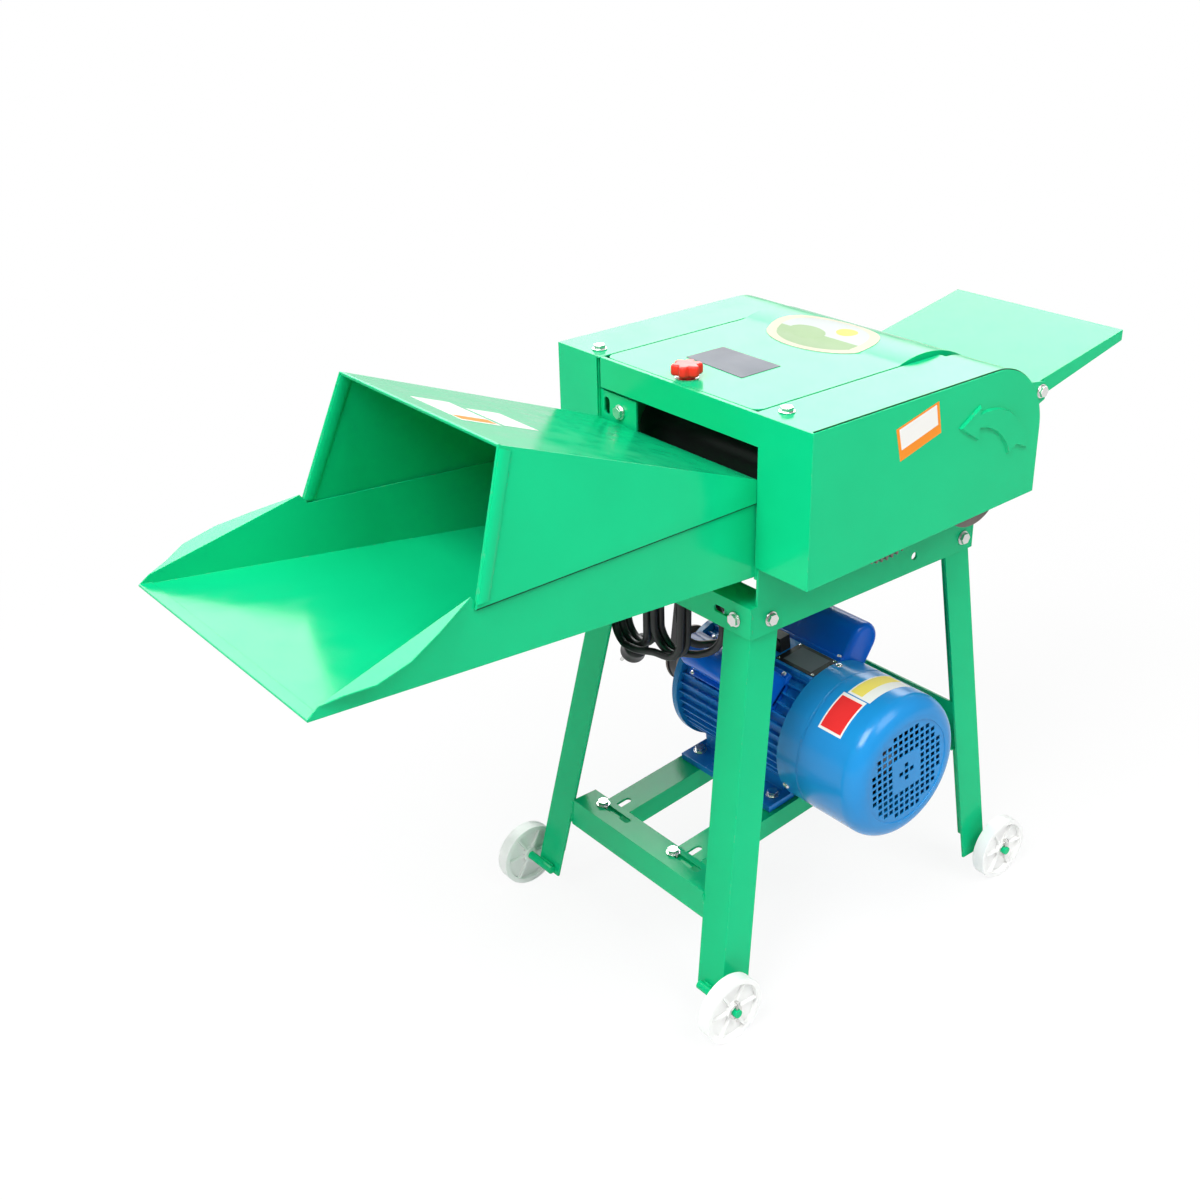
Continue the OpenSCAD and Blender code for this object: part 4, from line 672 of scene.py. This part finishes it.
def add_lid_plates():
    """Bare plate, and the oval badge with a plain landscape."""
    plate = patch([spot(x, y, COVER_TOP) for x, y in LID_PLATE])
    keep(laid("lid_plate", lid_tree, plate, -UP, *LID_PLATE_LIE), "top_lid", PLATE)
    for name, rows, lie, ring, material in (
        ("badge_border", oval(BADGE, *BADGE_HALF, BADGE_RING), BORDER_LIE, True, CREAM),
        ("badge_sky", badge_band(HORIZON, BADGE_FIELD), FIELD_LIE, False, SKY_PRINT),
        ("badge_meadow", badge_band(-BADGE_FIELD, HORIZON), FIELD_LIE, False, MEADOW),
        ("badge_sun", oval(SUN_AT, *SUN_HALF, FULL_OVAL), DOT_LIE, True, YELLOW),
        ("badge_hill", oval(HILL_AT, *HILL_HALF, FULL_OVAL), DOT_LIE, True, MEADOW),
    ):
        keep(laid(name, lid_tree, rows, -UP, *lie, ring), "top_lid", material)


add_lid_plates()

COVER_LABEL = ((117, 668), (179, 683), (186, 648), (126, 632))


def add_cover_label():
    corners = [spot(x, COVER_Y, z) for x, z in COVER_LABEL]
    face = patch(corners, inset=0.06, part=(0.0, 0.72))
    keep(laid("cover_label", cover_tree, patch(corners), ACROSS, *STICKER), "frame", ORANGE)
    keep(laid("cover_label_face", cover_tree, face, ACROSS, *PRINT), "frame", PAPER)


add_cover_label()

ARROW_AT = (257.6, 581.5)
ARROW_R = 72.5
ARROW_IN_R = 65
ARROW_IN_AT = (-19.4, -7.2)
ARROW_HEAD = ((-13, 45), (-41, 63), (-13, 79.5))
ARROW_TAIL = ((70.9, 15.5), (52.6, 23.5), (41.3, 16.3))
ARROW_RISE = 3.0
ARROW_SLOPE = 1.5
ARC_STEPS = 24


def arc_points(centre, radius, start, end):
    """Points on a circle from one point's direction to another's."""
    first = math.atan2(start[1] - centre[1], start[0] - centre[0])
    last = math.atan2(end[1] - centre[1], end[0] - centre[0])
    angles = [first + (last - first) * share for share in shares(ARC_STEPS)]
    return [(centre[0] + radius * math.cos(angle), centre[1] + radius * math.sin(angle)) for angle in angles]


def add_arrow():
    """Pressed arrow with sloped sides over the raised one of the near cover."""
    neck = ARROW_HEAD[0][0]
    over = (neck, math.sqrt(ARROW_R ** 2 - neck ** 2))
    under = (neck, ARROW_IN_AT[1] + math.sqrt(ARROW_IN_R ** 2 - (neck - ARROW_IN_AT[0]) ** 2))
    outline = [
        *ARROW_HEAD, *arc_points((0, 0), ARROW_R, over, ARROW_TAIL[0]), ARROW_TAIL[1],
        *arc_points(ARROW_IN_AT, ARROW_IN_R, ARROW_TAIL[2], under),
    ]
    corners = [Vector(corner) for corner in outline]
    top, foot = [], []
    for before, here, after in zip(corners[-1:] + corners[:-1], corners, corners[1:] + corners[:1]):
        come = (here - before).normalized()
        go = (after - here).normalized()
        out = Vector((-come.y - go.y, come.x + go.x)).normalized()
        wide = ARROW_SLOPE / max(out.dot(Vector((-go.y, go.x))), 0.5)
        foot_x, foot_z = here + out * wide
        top.append(spot(ARROW_AT[0] + here.x, COVER_Y - ARROW_RISE, ARROW_AT[1] + here.y))
        foot.append(spot(ARROW_AT[0] + foot_x, COVER_Y, ARROW_AT[1] + foot_z))
    keep(rings_piece("pressed_arrow", [top, foot]), "frame", GREEN)


add_arrow()

# Front, rear, near and far edge of each label on the hood
HOOD_LABELS = ((-282, -240, -38, 50), (-234, -196, -34, 30))


def add_hood_labels():
    for index, (front, rear, near, far) in enumerate(HOOD_LABELS):
        places = ((front, far), (rear, far), (rear, near), (front, near))
        corners = [spot(x, y, HOOD_TOP) for x, y in places]
        sticker = laid(f"hood_label_{index}", hood_tree, patch(corners), -UP, *STICKER)
        keep(sticker, "frame", PAPER)
        if index == 0:
            band = patch(corners, down=2, inset=0.05, part=(0.8, 1.0))
            keep(laid("hood_label_band", hood_tree, band, -UP, *PRINT), "frame", ORANGE)


add_hood_labels()

FAN_COVER_R = 88
FAN_THROW_R = 95
FAN_PRINT_LIE = (0.3, 0.2)


def around_motor(angle):
    """Direction away from the motor's axis, at degrees from straight up."""
    return Vector((math.sin(math.radians(angle)), 0, math.cos(math.radians(angle))))


def to_axis(point):
    """Direction from a point to the motor's axis."""
    return Vector((MOTOR_AXIS.x - point.x, 0, MOTOR_AXIS.z - point.z)).normalized()


def fan_patch(y0, y1, a0, a1):
    """Grid of points outside the fan cover between two distances and two angles about the motor's axis."""
    rows = []
    for share in shares(8):
        start = MOTOR_AXIS + around_motor(a0 + (a1 - a0) * share) * FAN_THROW_R * MM
        rows.append([start + (y0 + (y1 - y0) * across) * MM * ACROSS for across in shares(4)])
    return rows


def add_fan_labels():
    for name, edges, lie, material in (
        ("fan_label_a", (-129, -163, -53, -20), STICKER, PAPER),
        ("fan_label_a_red", (-131, -161, -51, -23), FAN_PRINT_LIE, LABEL_RED),
        ("fan_label_b", (-133, -166, -19, 28), STICKER, PAPER),
        ("fan_label_b_yellow", (-135, -152, -17, 26), FAN_PRINT_LIE, YELLOW),
    ):
        keep(laid(name, fan_tree, fan_patch(*edges), to_axis, *lie), "frame", material)


add_fan_labels()


# Motor: nameplate with rivets, rounded capacitor covers, screws of the fan cover
PAD_RISE = 82
PLATE_X = (-20, 22)
PLATE_Y = (-79, -18)
PLATE_LIFT = 0.05
PLATE_T = 0.8
FIELD_IN = (5, 8)
FIELD_LIFT = 0.86
FIELD_T = 0.1
RIVET_IN = (2.6, 3)
RIVET = ((-0.5, 1.9), (0.4, 1.9), (1.0, 1.2), (1.2, 0.3))
SCREW = ((-1, 4.2), (0.9, 4.2), (1.9, 3.5), (2.4, 2.2), (2.5, 0.4))
CAP_SCREW_SIZE = 0.66
CAP_SCREW_IN = 7
CAP_HALF = 22
CAP_FLANGE = 28
CAP_ROUND = 8
CAP_SEAT = 72
FLANGE_RISE = (76, 83)
FAN_SCREW_Y = -90
FAN_SCREW_ANGLES = (1.7, 121.7, 241.7)
SLAB_EDGE = 2.0


def slab(name, corners, up, thick):
    """A flat plate on four corners, its edges rounded."""
    piece = rings_piece(name, [corners, [corner + up * thick * MM for corner in corners]], smooth=False)
    bevel = piece.modifiers.new("edges", "BEVEL")
    bevel.width = min(0.25 * thick, SLAB_EDGE) * MM
    bevel.segments = 3
    return piece


def inside(ends, inset):
    """Two ends, each moved inwards."""
    return ends[0] + inset, ends[1] - inset


def motor_corners(xs, ys, z):
    return [on_motor(xs[i], ys[j], z) for i, j in ((0, 0), (1, 0), (1, 1), (0, 1))]


def add_motor_plate():
    plate = slab("motor_plate", motor_corners(PLATE_X, PLATE_Y, PAD_RISE + PLATE_LIFT), MOTOR_ABOVE, PLATE_T)
    keep(plate, "frame", BLACK_PLATE)
    corners = motor_corners(inside(PLATE_X, FIELD_IN[0]), inside(PLATE_Y, FIELD_IN[1]), PAD_RISE + FIELD_LIFT)
    keep(slab("motor_plate_field", corners, MOTOR_ABOVE, FIELD_T), "frame", PLATE)
    for i, x in enumerate(inside(PLATE_X, RIVET_IN[0])):
        for j, y in enumerate(inside(PLATE_Y, RIVET_IN[1])):
            rivet = turned(f"plate_rivet_{i}{j}", on_motor(x, y, PAD_RISE + PLATE_T), MOTOR_ABOVE, RIVET, 14)
            keep(rivet, "frame", ZINC)


def add_capacitor(node, lean, y0, y1, rise):
    """Round-topped cover with rounded ends on a screwed flange."""
    turn = math.radians(lean)
    out = MOTOR_ALONG * math.sin(turn) + MOTOR_ABOVE * math.cos(turn)

    def place(side, y, height):
        x = side * math.cos(turn) + height * math.sin(turn)
        z = height * math.cos(turn) - side * math.sin(turn)
        return on_motor(x, y, z)

    def section(y, inset):
        half = CAP_HALF - inset
        arc = [math.pi * share for share in shares(16)]
        top = [place(-half * math.cos(angle), y, rise + half * math.sin(angle)) for angle in arc]
        return [place(-half, y, CAP_SEAT), *top, place(half, y, CAP_SEAT)]

    ends = [math.pi / 2 * share for share in shares(6)]
    near = [(y0 + CAP_ROUND * (1 - math.cos(angle)), CAP_ROUND * (1 - math.sin(angle))) for angle in ends]
    far = [(y1 + y0 - y, inset) for y, inset in reversed(near)]
    body = rings_piece(f"{node}_shell", [section(y, inset) for y, inset in near + far])
    keep(body, "frame", DEEP_BLUE)
    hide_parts(node)
    low, high = FLANGE_RISE
    places = ((-CAP_FLANGE, y0), (CAP_FLANGE, y0), (CAP_FLANGE, y1), (-CAP_FLANGE, y1))
    flange = slab(f"{node}_flange", [place(side, y, low) for side, y in places], out, high - low)
    keep(flange, "frame", DEEP_BLUE)
    middle = (CAP_HALF + CAP_FLANGE) / 2
    profile = [(along, CAP_SCREW_SIZE * r) for along, r in SCREW]
    for i, side in enumerate((-middle, middle)):
        for j, y in enumerate(inside((y0, y1), CAP_SCREW_IN)):
            screw = turned(f"{node}_screw_{i}{j}", place(side, y, high), out, profile, 16)
            keep(screw, "frame", ZINC)


def add_fan_screws():
    for index, angle in enumerate(FAN_SCREW_ANGLES):
        out = around_motor(angle)
        at = MOTOR_AXIS + (out * FAN_COVER_R + ACROSS * FAN_SCREW_Y) * MM
        keep(turned(f"fan_cover_screw_{index}", at, out, SCREW, 20), "frame", ZINC)


add_motor_plate()
add_capacitor("front_capacitor", lean=-40, y0=-54, y1=80, rise=102)
add_capacitor("rear_capacitor", lean=40, y0=-76, y1=60, rise=112)
add_fan_screws()


# Red star knob on its washer
KNOB = spot(22, 3, COVER_TOP)
KNOB_STUD = 4
KNOB_LOBES = 6
KNOB_DIP = 4.6
KNOB_SHARPNESS = 1.4
KNOB_POINTS = 96
# Each ring's height and radius, and whether it is lobed
KNOB_RINGS = (
    (-19, KNOB_STUD - 1, False), (-18, KNOB_STUD, False), (1.2, KNOB_STUD, False), (1.2, 8.8, False),
    (3.6, 9, False), (4.4, 15.4, True), (5.4, 16.6, True), (7, 17, True), (13.6, 16.8, True),
    (15, 16.2, True), (16, 14.8, True), (16.2, 12.6, True), (15.9, 6, False),
)
WASHER_R = 12.5
WASHER_Z = (0.2, 1.15)
WASHER_BORE = KNOB_STUD + 0.1


def add_knob():
    rings = []
    for z, size, lobed in KNOB_RINGS:
        ring = []
        for k in range(KNOB_POINTS):
            angle = math.tau * k / KNOB_POINTS
            dip = KNOB_DIP * (0.5 + 0.5 * math.cos(KNOB_LOBES * angle)) ** KNOB_SHARPNESS
            r = size - dip if lobed else size
            ring.append(KNOB + Vector((r * math.cos(angle), r * math.sin(angle), z)) * MM)
        rings.append(ring)
    knob = rings_piece("knob_star", rings)
    keep(knob, "lid_knob", RED)
    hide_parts("star_knob")
    low, high = WASHER_Z
    profile = [(low, WASHER_BORE), (low, WASHER_R), (high, WASHER_R), (high, WASHER_BORE)]
    keep(turned("knob_washer", KNOB, UP, profile, 40), "lid_knob", ZINC)


add_knob()


# Feed chain of rollers and plates
CHAIN_PITCH = 9.525
CHAIN_WHEELS = (("countershaft_spin", 22.9), ("lower_feed_spin", 52.9))
CHAIN_STEPS = 60
LINK_R = 2.4
LINK_T = 0.7
# Half the width between the plates of even and of odd links
LINK_INSIDE = (2.7, 1.9)
ROLLER_R = 2.1
ROLLER_HALF = 1.8


def chain_line():
    """The chain's closed middle line round its two wheels."""
    low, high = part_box("feed_chain")
    y = (low.y + high.y) / 2
    (a, a_reach), (b, b_reach) = [
        (Vector(JOINTS[joint]["pos_m"]), reach * MM) for joint, reach in CHAIN_WHEELS
    ]
    flat = Vector((b.x - a.x, 0, b.z - a.z))
    heading = math.atan2(flat.z, flat.x)
    lean = math.acos((a_reach - b_reach) / flat.length)
    line = []
    for centre, reach, start, sweep in (
        (a, a_reach, heading + lean, math.tau - 2 * lean), (b, b_reach, heading - lean, 2 * lean),
    ):
        for share in shares(CHAIN_STEPS):
            angle = start + sweep * share
            line.append(Vector((centre.x + reach * math.cos(angle), y, centre.z + reach * math.sin(angle))))
    return line + line[:1]


def chain_pins(line):
    """Even places along the line, a pitch apart or nearly so, as many as make whole pairs of links."""
    length = sum((q - p).length for p, q in zip(line, line[1:]))
    links = 2 * round(length / CHAIN_PITCH / MM / 2)
    pins = []
    walked, step = 0.0, length / links
    for p, q in zip(line, line[1:]):
        part = (q - p).length
        while len(pins) < links and walked + part >= len(pins) * step:
            pins.append(p.lerp(q, (len(pins) * step - walked) / part) if part else p)
        walked += part
    return pins


def add_chain():
    points, faces = [], []

    def add_prism(outline, low, high):
        rings = [[corner + depth * MM * ACROSS for corner in outline] for depth in (low, high)]
        more_points, more_faces = skin(rings, len(points))
        points.extend(more_points)
        faces.extend(more_faces)

    pins = chain_pins(chain_line())
    for i, (p, q) in enumerate(zip(pins, pins[1:] + pins[:1])):
        ahead = (q - p).normalized()
        out = Vector((-ahead.z, 0, ahead.x))
        plate = []
        for end, turn in ((q, -90), (p, 90)):
            for angle in (math.radians(turn + 180 * share) for share in shares(4)):
                plate.append(end + LINK_R * MM * (math.cos(angle) * ahead + math.sin(angle) * out))
        inner = LINK_INSIDE[i % 2]
        add_prism(plate, inner, inner + LINK_T)
        add_prism(plate, -inner - LINK_T, -inner)
        add_prism(ring_at(p, ALONG, UP, ROLLER_R * MM, 10), -ROLLER_HALF, ROLLER_HALF)
    chain = mesh_piece("roller_chain", points, faces)
    keep(chain, "frame", IRON)
    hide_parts("feed_chain")


add_chain()


# Two springs over the upper roller's slide blocks
SPRING_WIRE = 0.8
SPRING_R = 3.6
SPRING_TURNS = 6
TURN_STEPS = 24


def add_springs():
    low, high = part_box("feed_springs")
    middle = (low.x + high.x) / 2
    reach = high.y - (SPRING_R + SPRING_WIRE) * MM
    wire = SPRING_WIRE * MM
    points, faces = [], []
    for side, _ in SIDES:
        line = []
        for share in shares(SPRING_TURNS * TURN_STEPS):
            angle = math.tau * SPRING_TURNS * share
            line.append(Vector((
                middle + SPRING_R * MM * math.cos(angle), side * (reach + SPRING_R * MM * math.sin(angle)),
                low.z + wire + (high.z - low.z - 2 * wire) * share,
            )))
        more_points, more_faces = skin(tube_rings(line, [SPRING_WIRE] * len(line)), len(points))
        points += more_points
        faces += more_faces
    springs = mesh_piece("roller_springs", points, faces)
    keep(springs, "frame", STEEL)
    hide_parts("feed_springs")
    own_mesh(springs)


add_springs()


# Rolled edges of the hood: its front edge runs on each side from a top corner to a low one
HOOD_EDGE_X = (-309, -356)
HOOD_EDGE_Y = (133, 153.5)
HOOD_EDGE_Z = (HOOD_TOP, 613)
HEM_W = 14
HEM_FROM = 0.8
HEM_SHORT = 0.02
HEM_FALL = 0.38
HEM_DROP = 0.3
HEM_PROFILE = (1.2, 2.0, 2.3, 2.3, 2.2, 1.7, 0.1)
ROLL_R = 1.9
ROLL_SINK = 0.2
ROLL_SHARE = 0.985


def between(ends, share):
    """The value at a share of the way from one end to the other."""
    return ends[0] + (ends[1] - ends[0]) * share


def add_hood_hems():
    for side, way in SIDES:
        rows = []
        for step in shares(16):
            share = between((HEM_SHORT, 1 - HEM_SHORT), step)
            row = []
            for across in shares(len(HEM_PROFILE) - 1):
                back = HEM_FROM + HEM_W * across
                drop = HEM_DROP + HEM_FALL * back * (1 - share)
                row.append(spot(
                    between(HOOD_EDGE_X, share) + back, side * between(HOOD_EDGE_Y, share),
                    between(HOOD_EDGE_Z, share) - drop,
                ))
            rows.append(row)
        for face, toward in (("outer", -side * ACROSS), ("inner", side * ACROSS)):
            hem = laid(f"hood_hem_{way}_{face}", hood_tree, rows, toward, 0.0, HEM_PROFILE)
            keep(hem, "frame", GREEN)
    reach = HOOD_EDGE_Y[0] * ROLL_SHARE
    x = HOOD_EDGE_X[0] + ROLL_R
    z = HOOD_TOP - ROLL_R - ROLL_SINK
    line = [spot(x, reach * (2 * share - 1), z) for share in shares(16)]
    keep(rod("hood_edge_roll", line, ROLL_R, 12), "frame", GREEN)


add_hood_hems()


# Painted shade at the seams: dark lines standing for the shadowed gaps under the hood's side edges and along the
# near cover's top edge
HOOD_SEAM_R = 0.6
HOOD_SEAM_FROM = 1.0
HOOD_SEAM_SINK = 0.2
CORNER_LEAN = 0.3
REAR_REACH = 2.0
COVER_SEAM_R = 1.2
COVER_SEAM_FROM = 3
COVER_SEAM_IN = 2.4
COVER_SEAM_SINK = 0.1
COVER_SEAM_TURN = math.radians(72)


def add_hood_seam_shades():
    """Dark lines of painted shade, for the shadowed gap from the hood's lowest front corner to its lowest rear
    one, on both sides.
    """
    corners = [point.co for point in NODES["trough_hood"].data.vertices]
    rear_x = max(point.x for point in corners) - REAR_REACH * MM
    front = min(corners, key=lambda point: point.x + CORNER_LEAN * point.z)
    rear = min((point for point in corners if point.x > rear_x), key=lambda point: point.z)
    sink = HOOD_SEAM_SINK * MM
    for side, way in SIDES:
        start = Vector((front.x + HOOD_SEAM_FROM * MM, side * (abs(front.y) - sink), front.z - sink))
        end = Vector((rear.x, side * (abs(rear.y) - sink), rear.z - sink))
        line = [start.lerp(end, share) for share in shares(12)]
        keep(rod(f"hood_seam_shade_{way}", line, HOOD_SEAM_R), "frame", SEAM_SHADE)


def add_cover_seam_shade():
    """Dark line of painted shade, for the shadowed seam along the flat top and round the curve behind it."""
    flat = (COVER_SEAM_FROM, COVER_LEN - COVER_ROUND)
    radius = COVER_ROUND - COVER_SEAM_SINK
    line = [(between(flat, share), COVER_TOP - COVER_SEAM_SINK) for share in shares(16)[:-1]]
    for share in shares(16):
        angle = COVER_SEAM_TURN * share
        line.append((flat[1] + radius * math.sin(angle), COVER_TOP - COVER_ROUND + radius * math.cos(angle)))
    line = [spot(x, COVER_Y + COVER_SEAM_IN, z) for x, z in line]
    keep(rod("cover_seam_shade", line, COVER_SEAM_R), "frame", SEAM_SHADE)


add_hood_seam_shades()
add_cover_seam_shade()


# Weld beads of the stand
BEAD_STEP = 1.3
BEAD_SIZE = 0.85
BEAD_RIPPLE = 0.22
BEAD_BEAT = 2.3
BEAD_END = 0.6
WELD_SHORT = 3
BAR_WELD_R = 1.8
BAR_WELD_LEAN = 4
AXLE_WELD_R = 1.5
AXLE_WELD_X = 4.2
AXLE_WELD_Y = (141, 165)
AXLE_WELD_Z = 3.9
RAIL_WELD_R = 0.9
RAIL_WELD_IN = (0.6, 0.4)


def add_bead(name, start, end, size):
    """A rippled bead from one place to another, thinner at its ends."""
    steps = max(6, round((end - start).length / (BEAD_STEP * MM)))
    line = [start.lerp(end, share) for share in shares(steps)]
    radii = [size * (BEAD_SIZE + BEAD_RIPPLE * math.sin(BEAD_BEAT * k)) for k in range(steps + 1)]
    radii[0] *= BEAD_END
    radii[-1] *= BEAD_END
    keep(rings_piece(name, tube_rings(line, radii, 9)), "frame", GREEN)


def add_welds():
    bar_low, bar_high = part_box("front_bar")
    rail_low, rail_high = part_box("front_rail")
    short = WELD_SHORT * MM
    for side, way in SIDES:
        start = Vector((bar_low.x, side * (bar_high.y - BAR_WELD_LEAN * MM), bar_high.z - short))
        end = Vector((bar_low.x, side * bar_high.y, bar_low.z + short))
        add_bead(f"weld_bar_{way}", start, end, BAR_WELD_R)
        for leg, out in (("front", 1), ("rear", -1)):
            x, _, z = JOINTS[f"{leg}_{way}_wheel_spin"]["pos_m"]
            for level, rise in (("low", -AXLE_WELD_Z), ("up", AXLE_WELD_Z)):
                start, end = [
                    Vector((x + out * AXLE_WELD_X * MM, side * y * MM, z + rise * MM)) for y in AXLE_WELD_Y
                ]
                add_bead(f"weld_axle_{leg}_{way}_{level}", start, end, AXLE_WELD_R)
        x, y = rail_low.x + RAIL_WELD_IN[0] * MM, side * (rail_high.y - RAIL_WELD_IN[1] * MM)
        start, end = Vector((x, y, rail_low.z + short)), Vector((x, y, rail_high.z - short))
        add_bead(f"weld_rail_{way}", start, end, RAIL_WELD_R)


add_welds()


# Floor, light and background, in metres and watts
FLOOR_REACH = 20
FLOOR_BELOW = 0.0002
FLOOR_SCALE = 3
FLOOR_TONE = (0.86, 0.9)
FLOOR_ROUGH = 0.8
# The floor's own white takes over between these distances, from the first share to the last
WHITE_FROM = (0.7, 1.6)
WHITE_SHARE = (0.9, 1.0)
WORLD_LIGHT = 0.34
CARD_FADE = 0.62


def add_floor():
    """A pale floor that keeps the object's shadow and is white far from it."""
    reach = FLOOR_REACH
    points = [(-reach, -reach, 0), (reach, -reach, 0), (reach, reach, 0), (-reach, reach, 0)]
    floor = mesh_piece("floor", points, [(0, 1, 2, 3)])
    floor.location.z = cad_box[0].z - FLOOR_BELOW
    material = bpy.data.materials.new("studio_floor")
    material.use_nodes = True
    tree = material.node_tree
    shader = tree.nodes["Principled BSDF"]
    place = put(tree, "ShaderNodeTexCoord").outputs["Object"]
    tone = span(tree, noise(tree, place, FLOOR_SCALE, 3), EVEN_NOISE, FLOOR_TONE)
    grey = put(tree, "ShaderNodeCombineColor", Red=tone, Green=tone, Blue=tone).outputs[0]
    feed(tree, grey, shader.inputs["Base Color"])
    feed(tree, FLOOR_ROUGH, shader.inputs["Roughness"])
    rays = put(tree, "ShaderNodeLightPath").outputs
    seen = worked(tree, "ADD", rays["Is Camera Ray"], rays["Is Glossy Ray"], clamp=True)
    seen = worked(tree, "ADD", seen, rays["Is Transmission Ray"], clamp=True)
    white = put(tree, "ShaderNodeEmission", Color=(1, 1, 1, 1), Strength=1.0).outputs[0]
    distance = put(tree, "ShaderNodeVectorMath", {"operation": "LENGTH"}, Vector=place).outputs["Value"]
    share = worked(tree, "MULTIPLY", seen, span(tree, distance, WHITE_FROM, WHITE_SHARE))
    blend = put(tree, "ShaderNodeMixShader", Fac=share)
    feed(tree, shader.outputs[0], blend.inputs[1])
    feed(tree, white, blend.inputs[2])
    feed(tree, blend.outputs[0], tree.nodes["Material Output"].inputs["Surface"])
    floor.data.materials.append(material)


def add_light(name, place, aim, size, watts):
    data = bpy.data.lights.new(name, "AREA")
    data.shape = "RECTANGLE"
    data.size, data.size_y = size
    data.energy = watts
    light = bpy.data.objects.new(name, data)
    bpy.context.collection.objects.link(light)
    light.location = place
    light.rotation_euler = (Vector(aim) - Vector(place)).to_track_quat("-Z", "Y").to_euler()
    light.visible_camera = False
    return light


def add_world():
    """White behind the object, with less light on it."""
    world = bpy.data.worlds.new("studio")
    bpy.context.scene.world = world
    world.use_nodes = True
    tree = world.node_tree
    back = tree.nodes["Background"]
    feed(tree, (1, 1, 1, 1), back.inputs["Color"])
    seen = put(tree, "ShaderNodeLightPath").outputs["Is Camera Ray"]
    feed(tree, span(tree, seen, (0, 1), (WORLD_LIGHT, 1)), back.inputs["Strength"])


def add_lights():
    """A card that only reflections show, which fades towards its lower edge, and two soft lamps."""
    card = add_light(
        "reflection_card", place=(1.30, 2.25, 2.10), aim=(0, 0, 0.6), size=(5.0, 3.2), watts=430,
    )
    card.visible_diffuse = False
    card.data.use_nodes = True
    tree = card.data.node_tree
    spread = put(tree, "ShaderNodeNewGeometry").outputs["Parametric"]
    height = put(tree, "ShaderNodeSeparateXYZ", Vector=spread).outputs["Y"]
    feed(tree, span(tree, height, (0, CARD_FADE), (0, 1)), tree.nodes["Emission"].inputs["Strength"])
    add_light("key_left", place=(-2.1, -0.5, 3.2), aim=(-0.1, 0, 0.45), size=(1.8, 1.8), watts=140)
    add_light("fill_right", place=(0.3, -2.1, 3.1), aim=(0, 0, 0.4), size=(2.0, 2.0), watts=70)


add_floor()
add_world()
add_lights()
bpy.context.scene.view_settings.view_transform = "Standard"
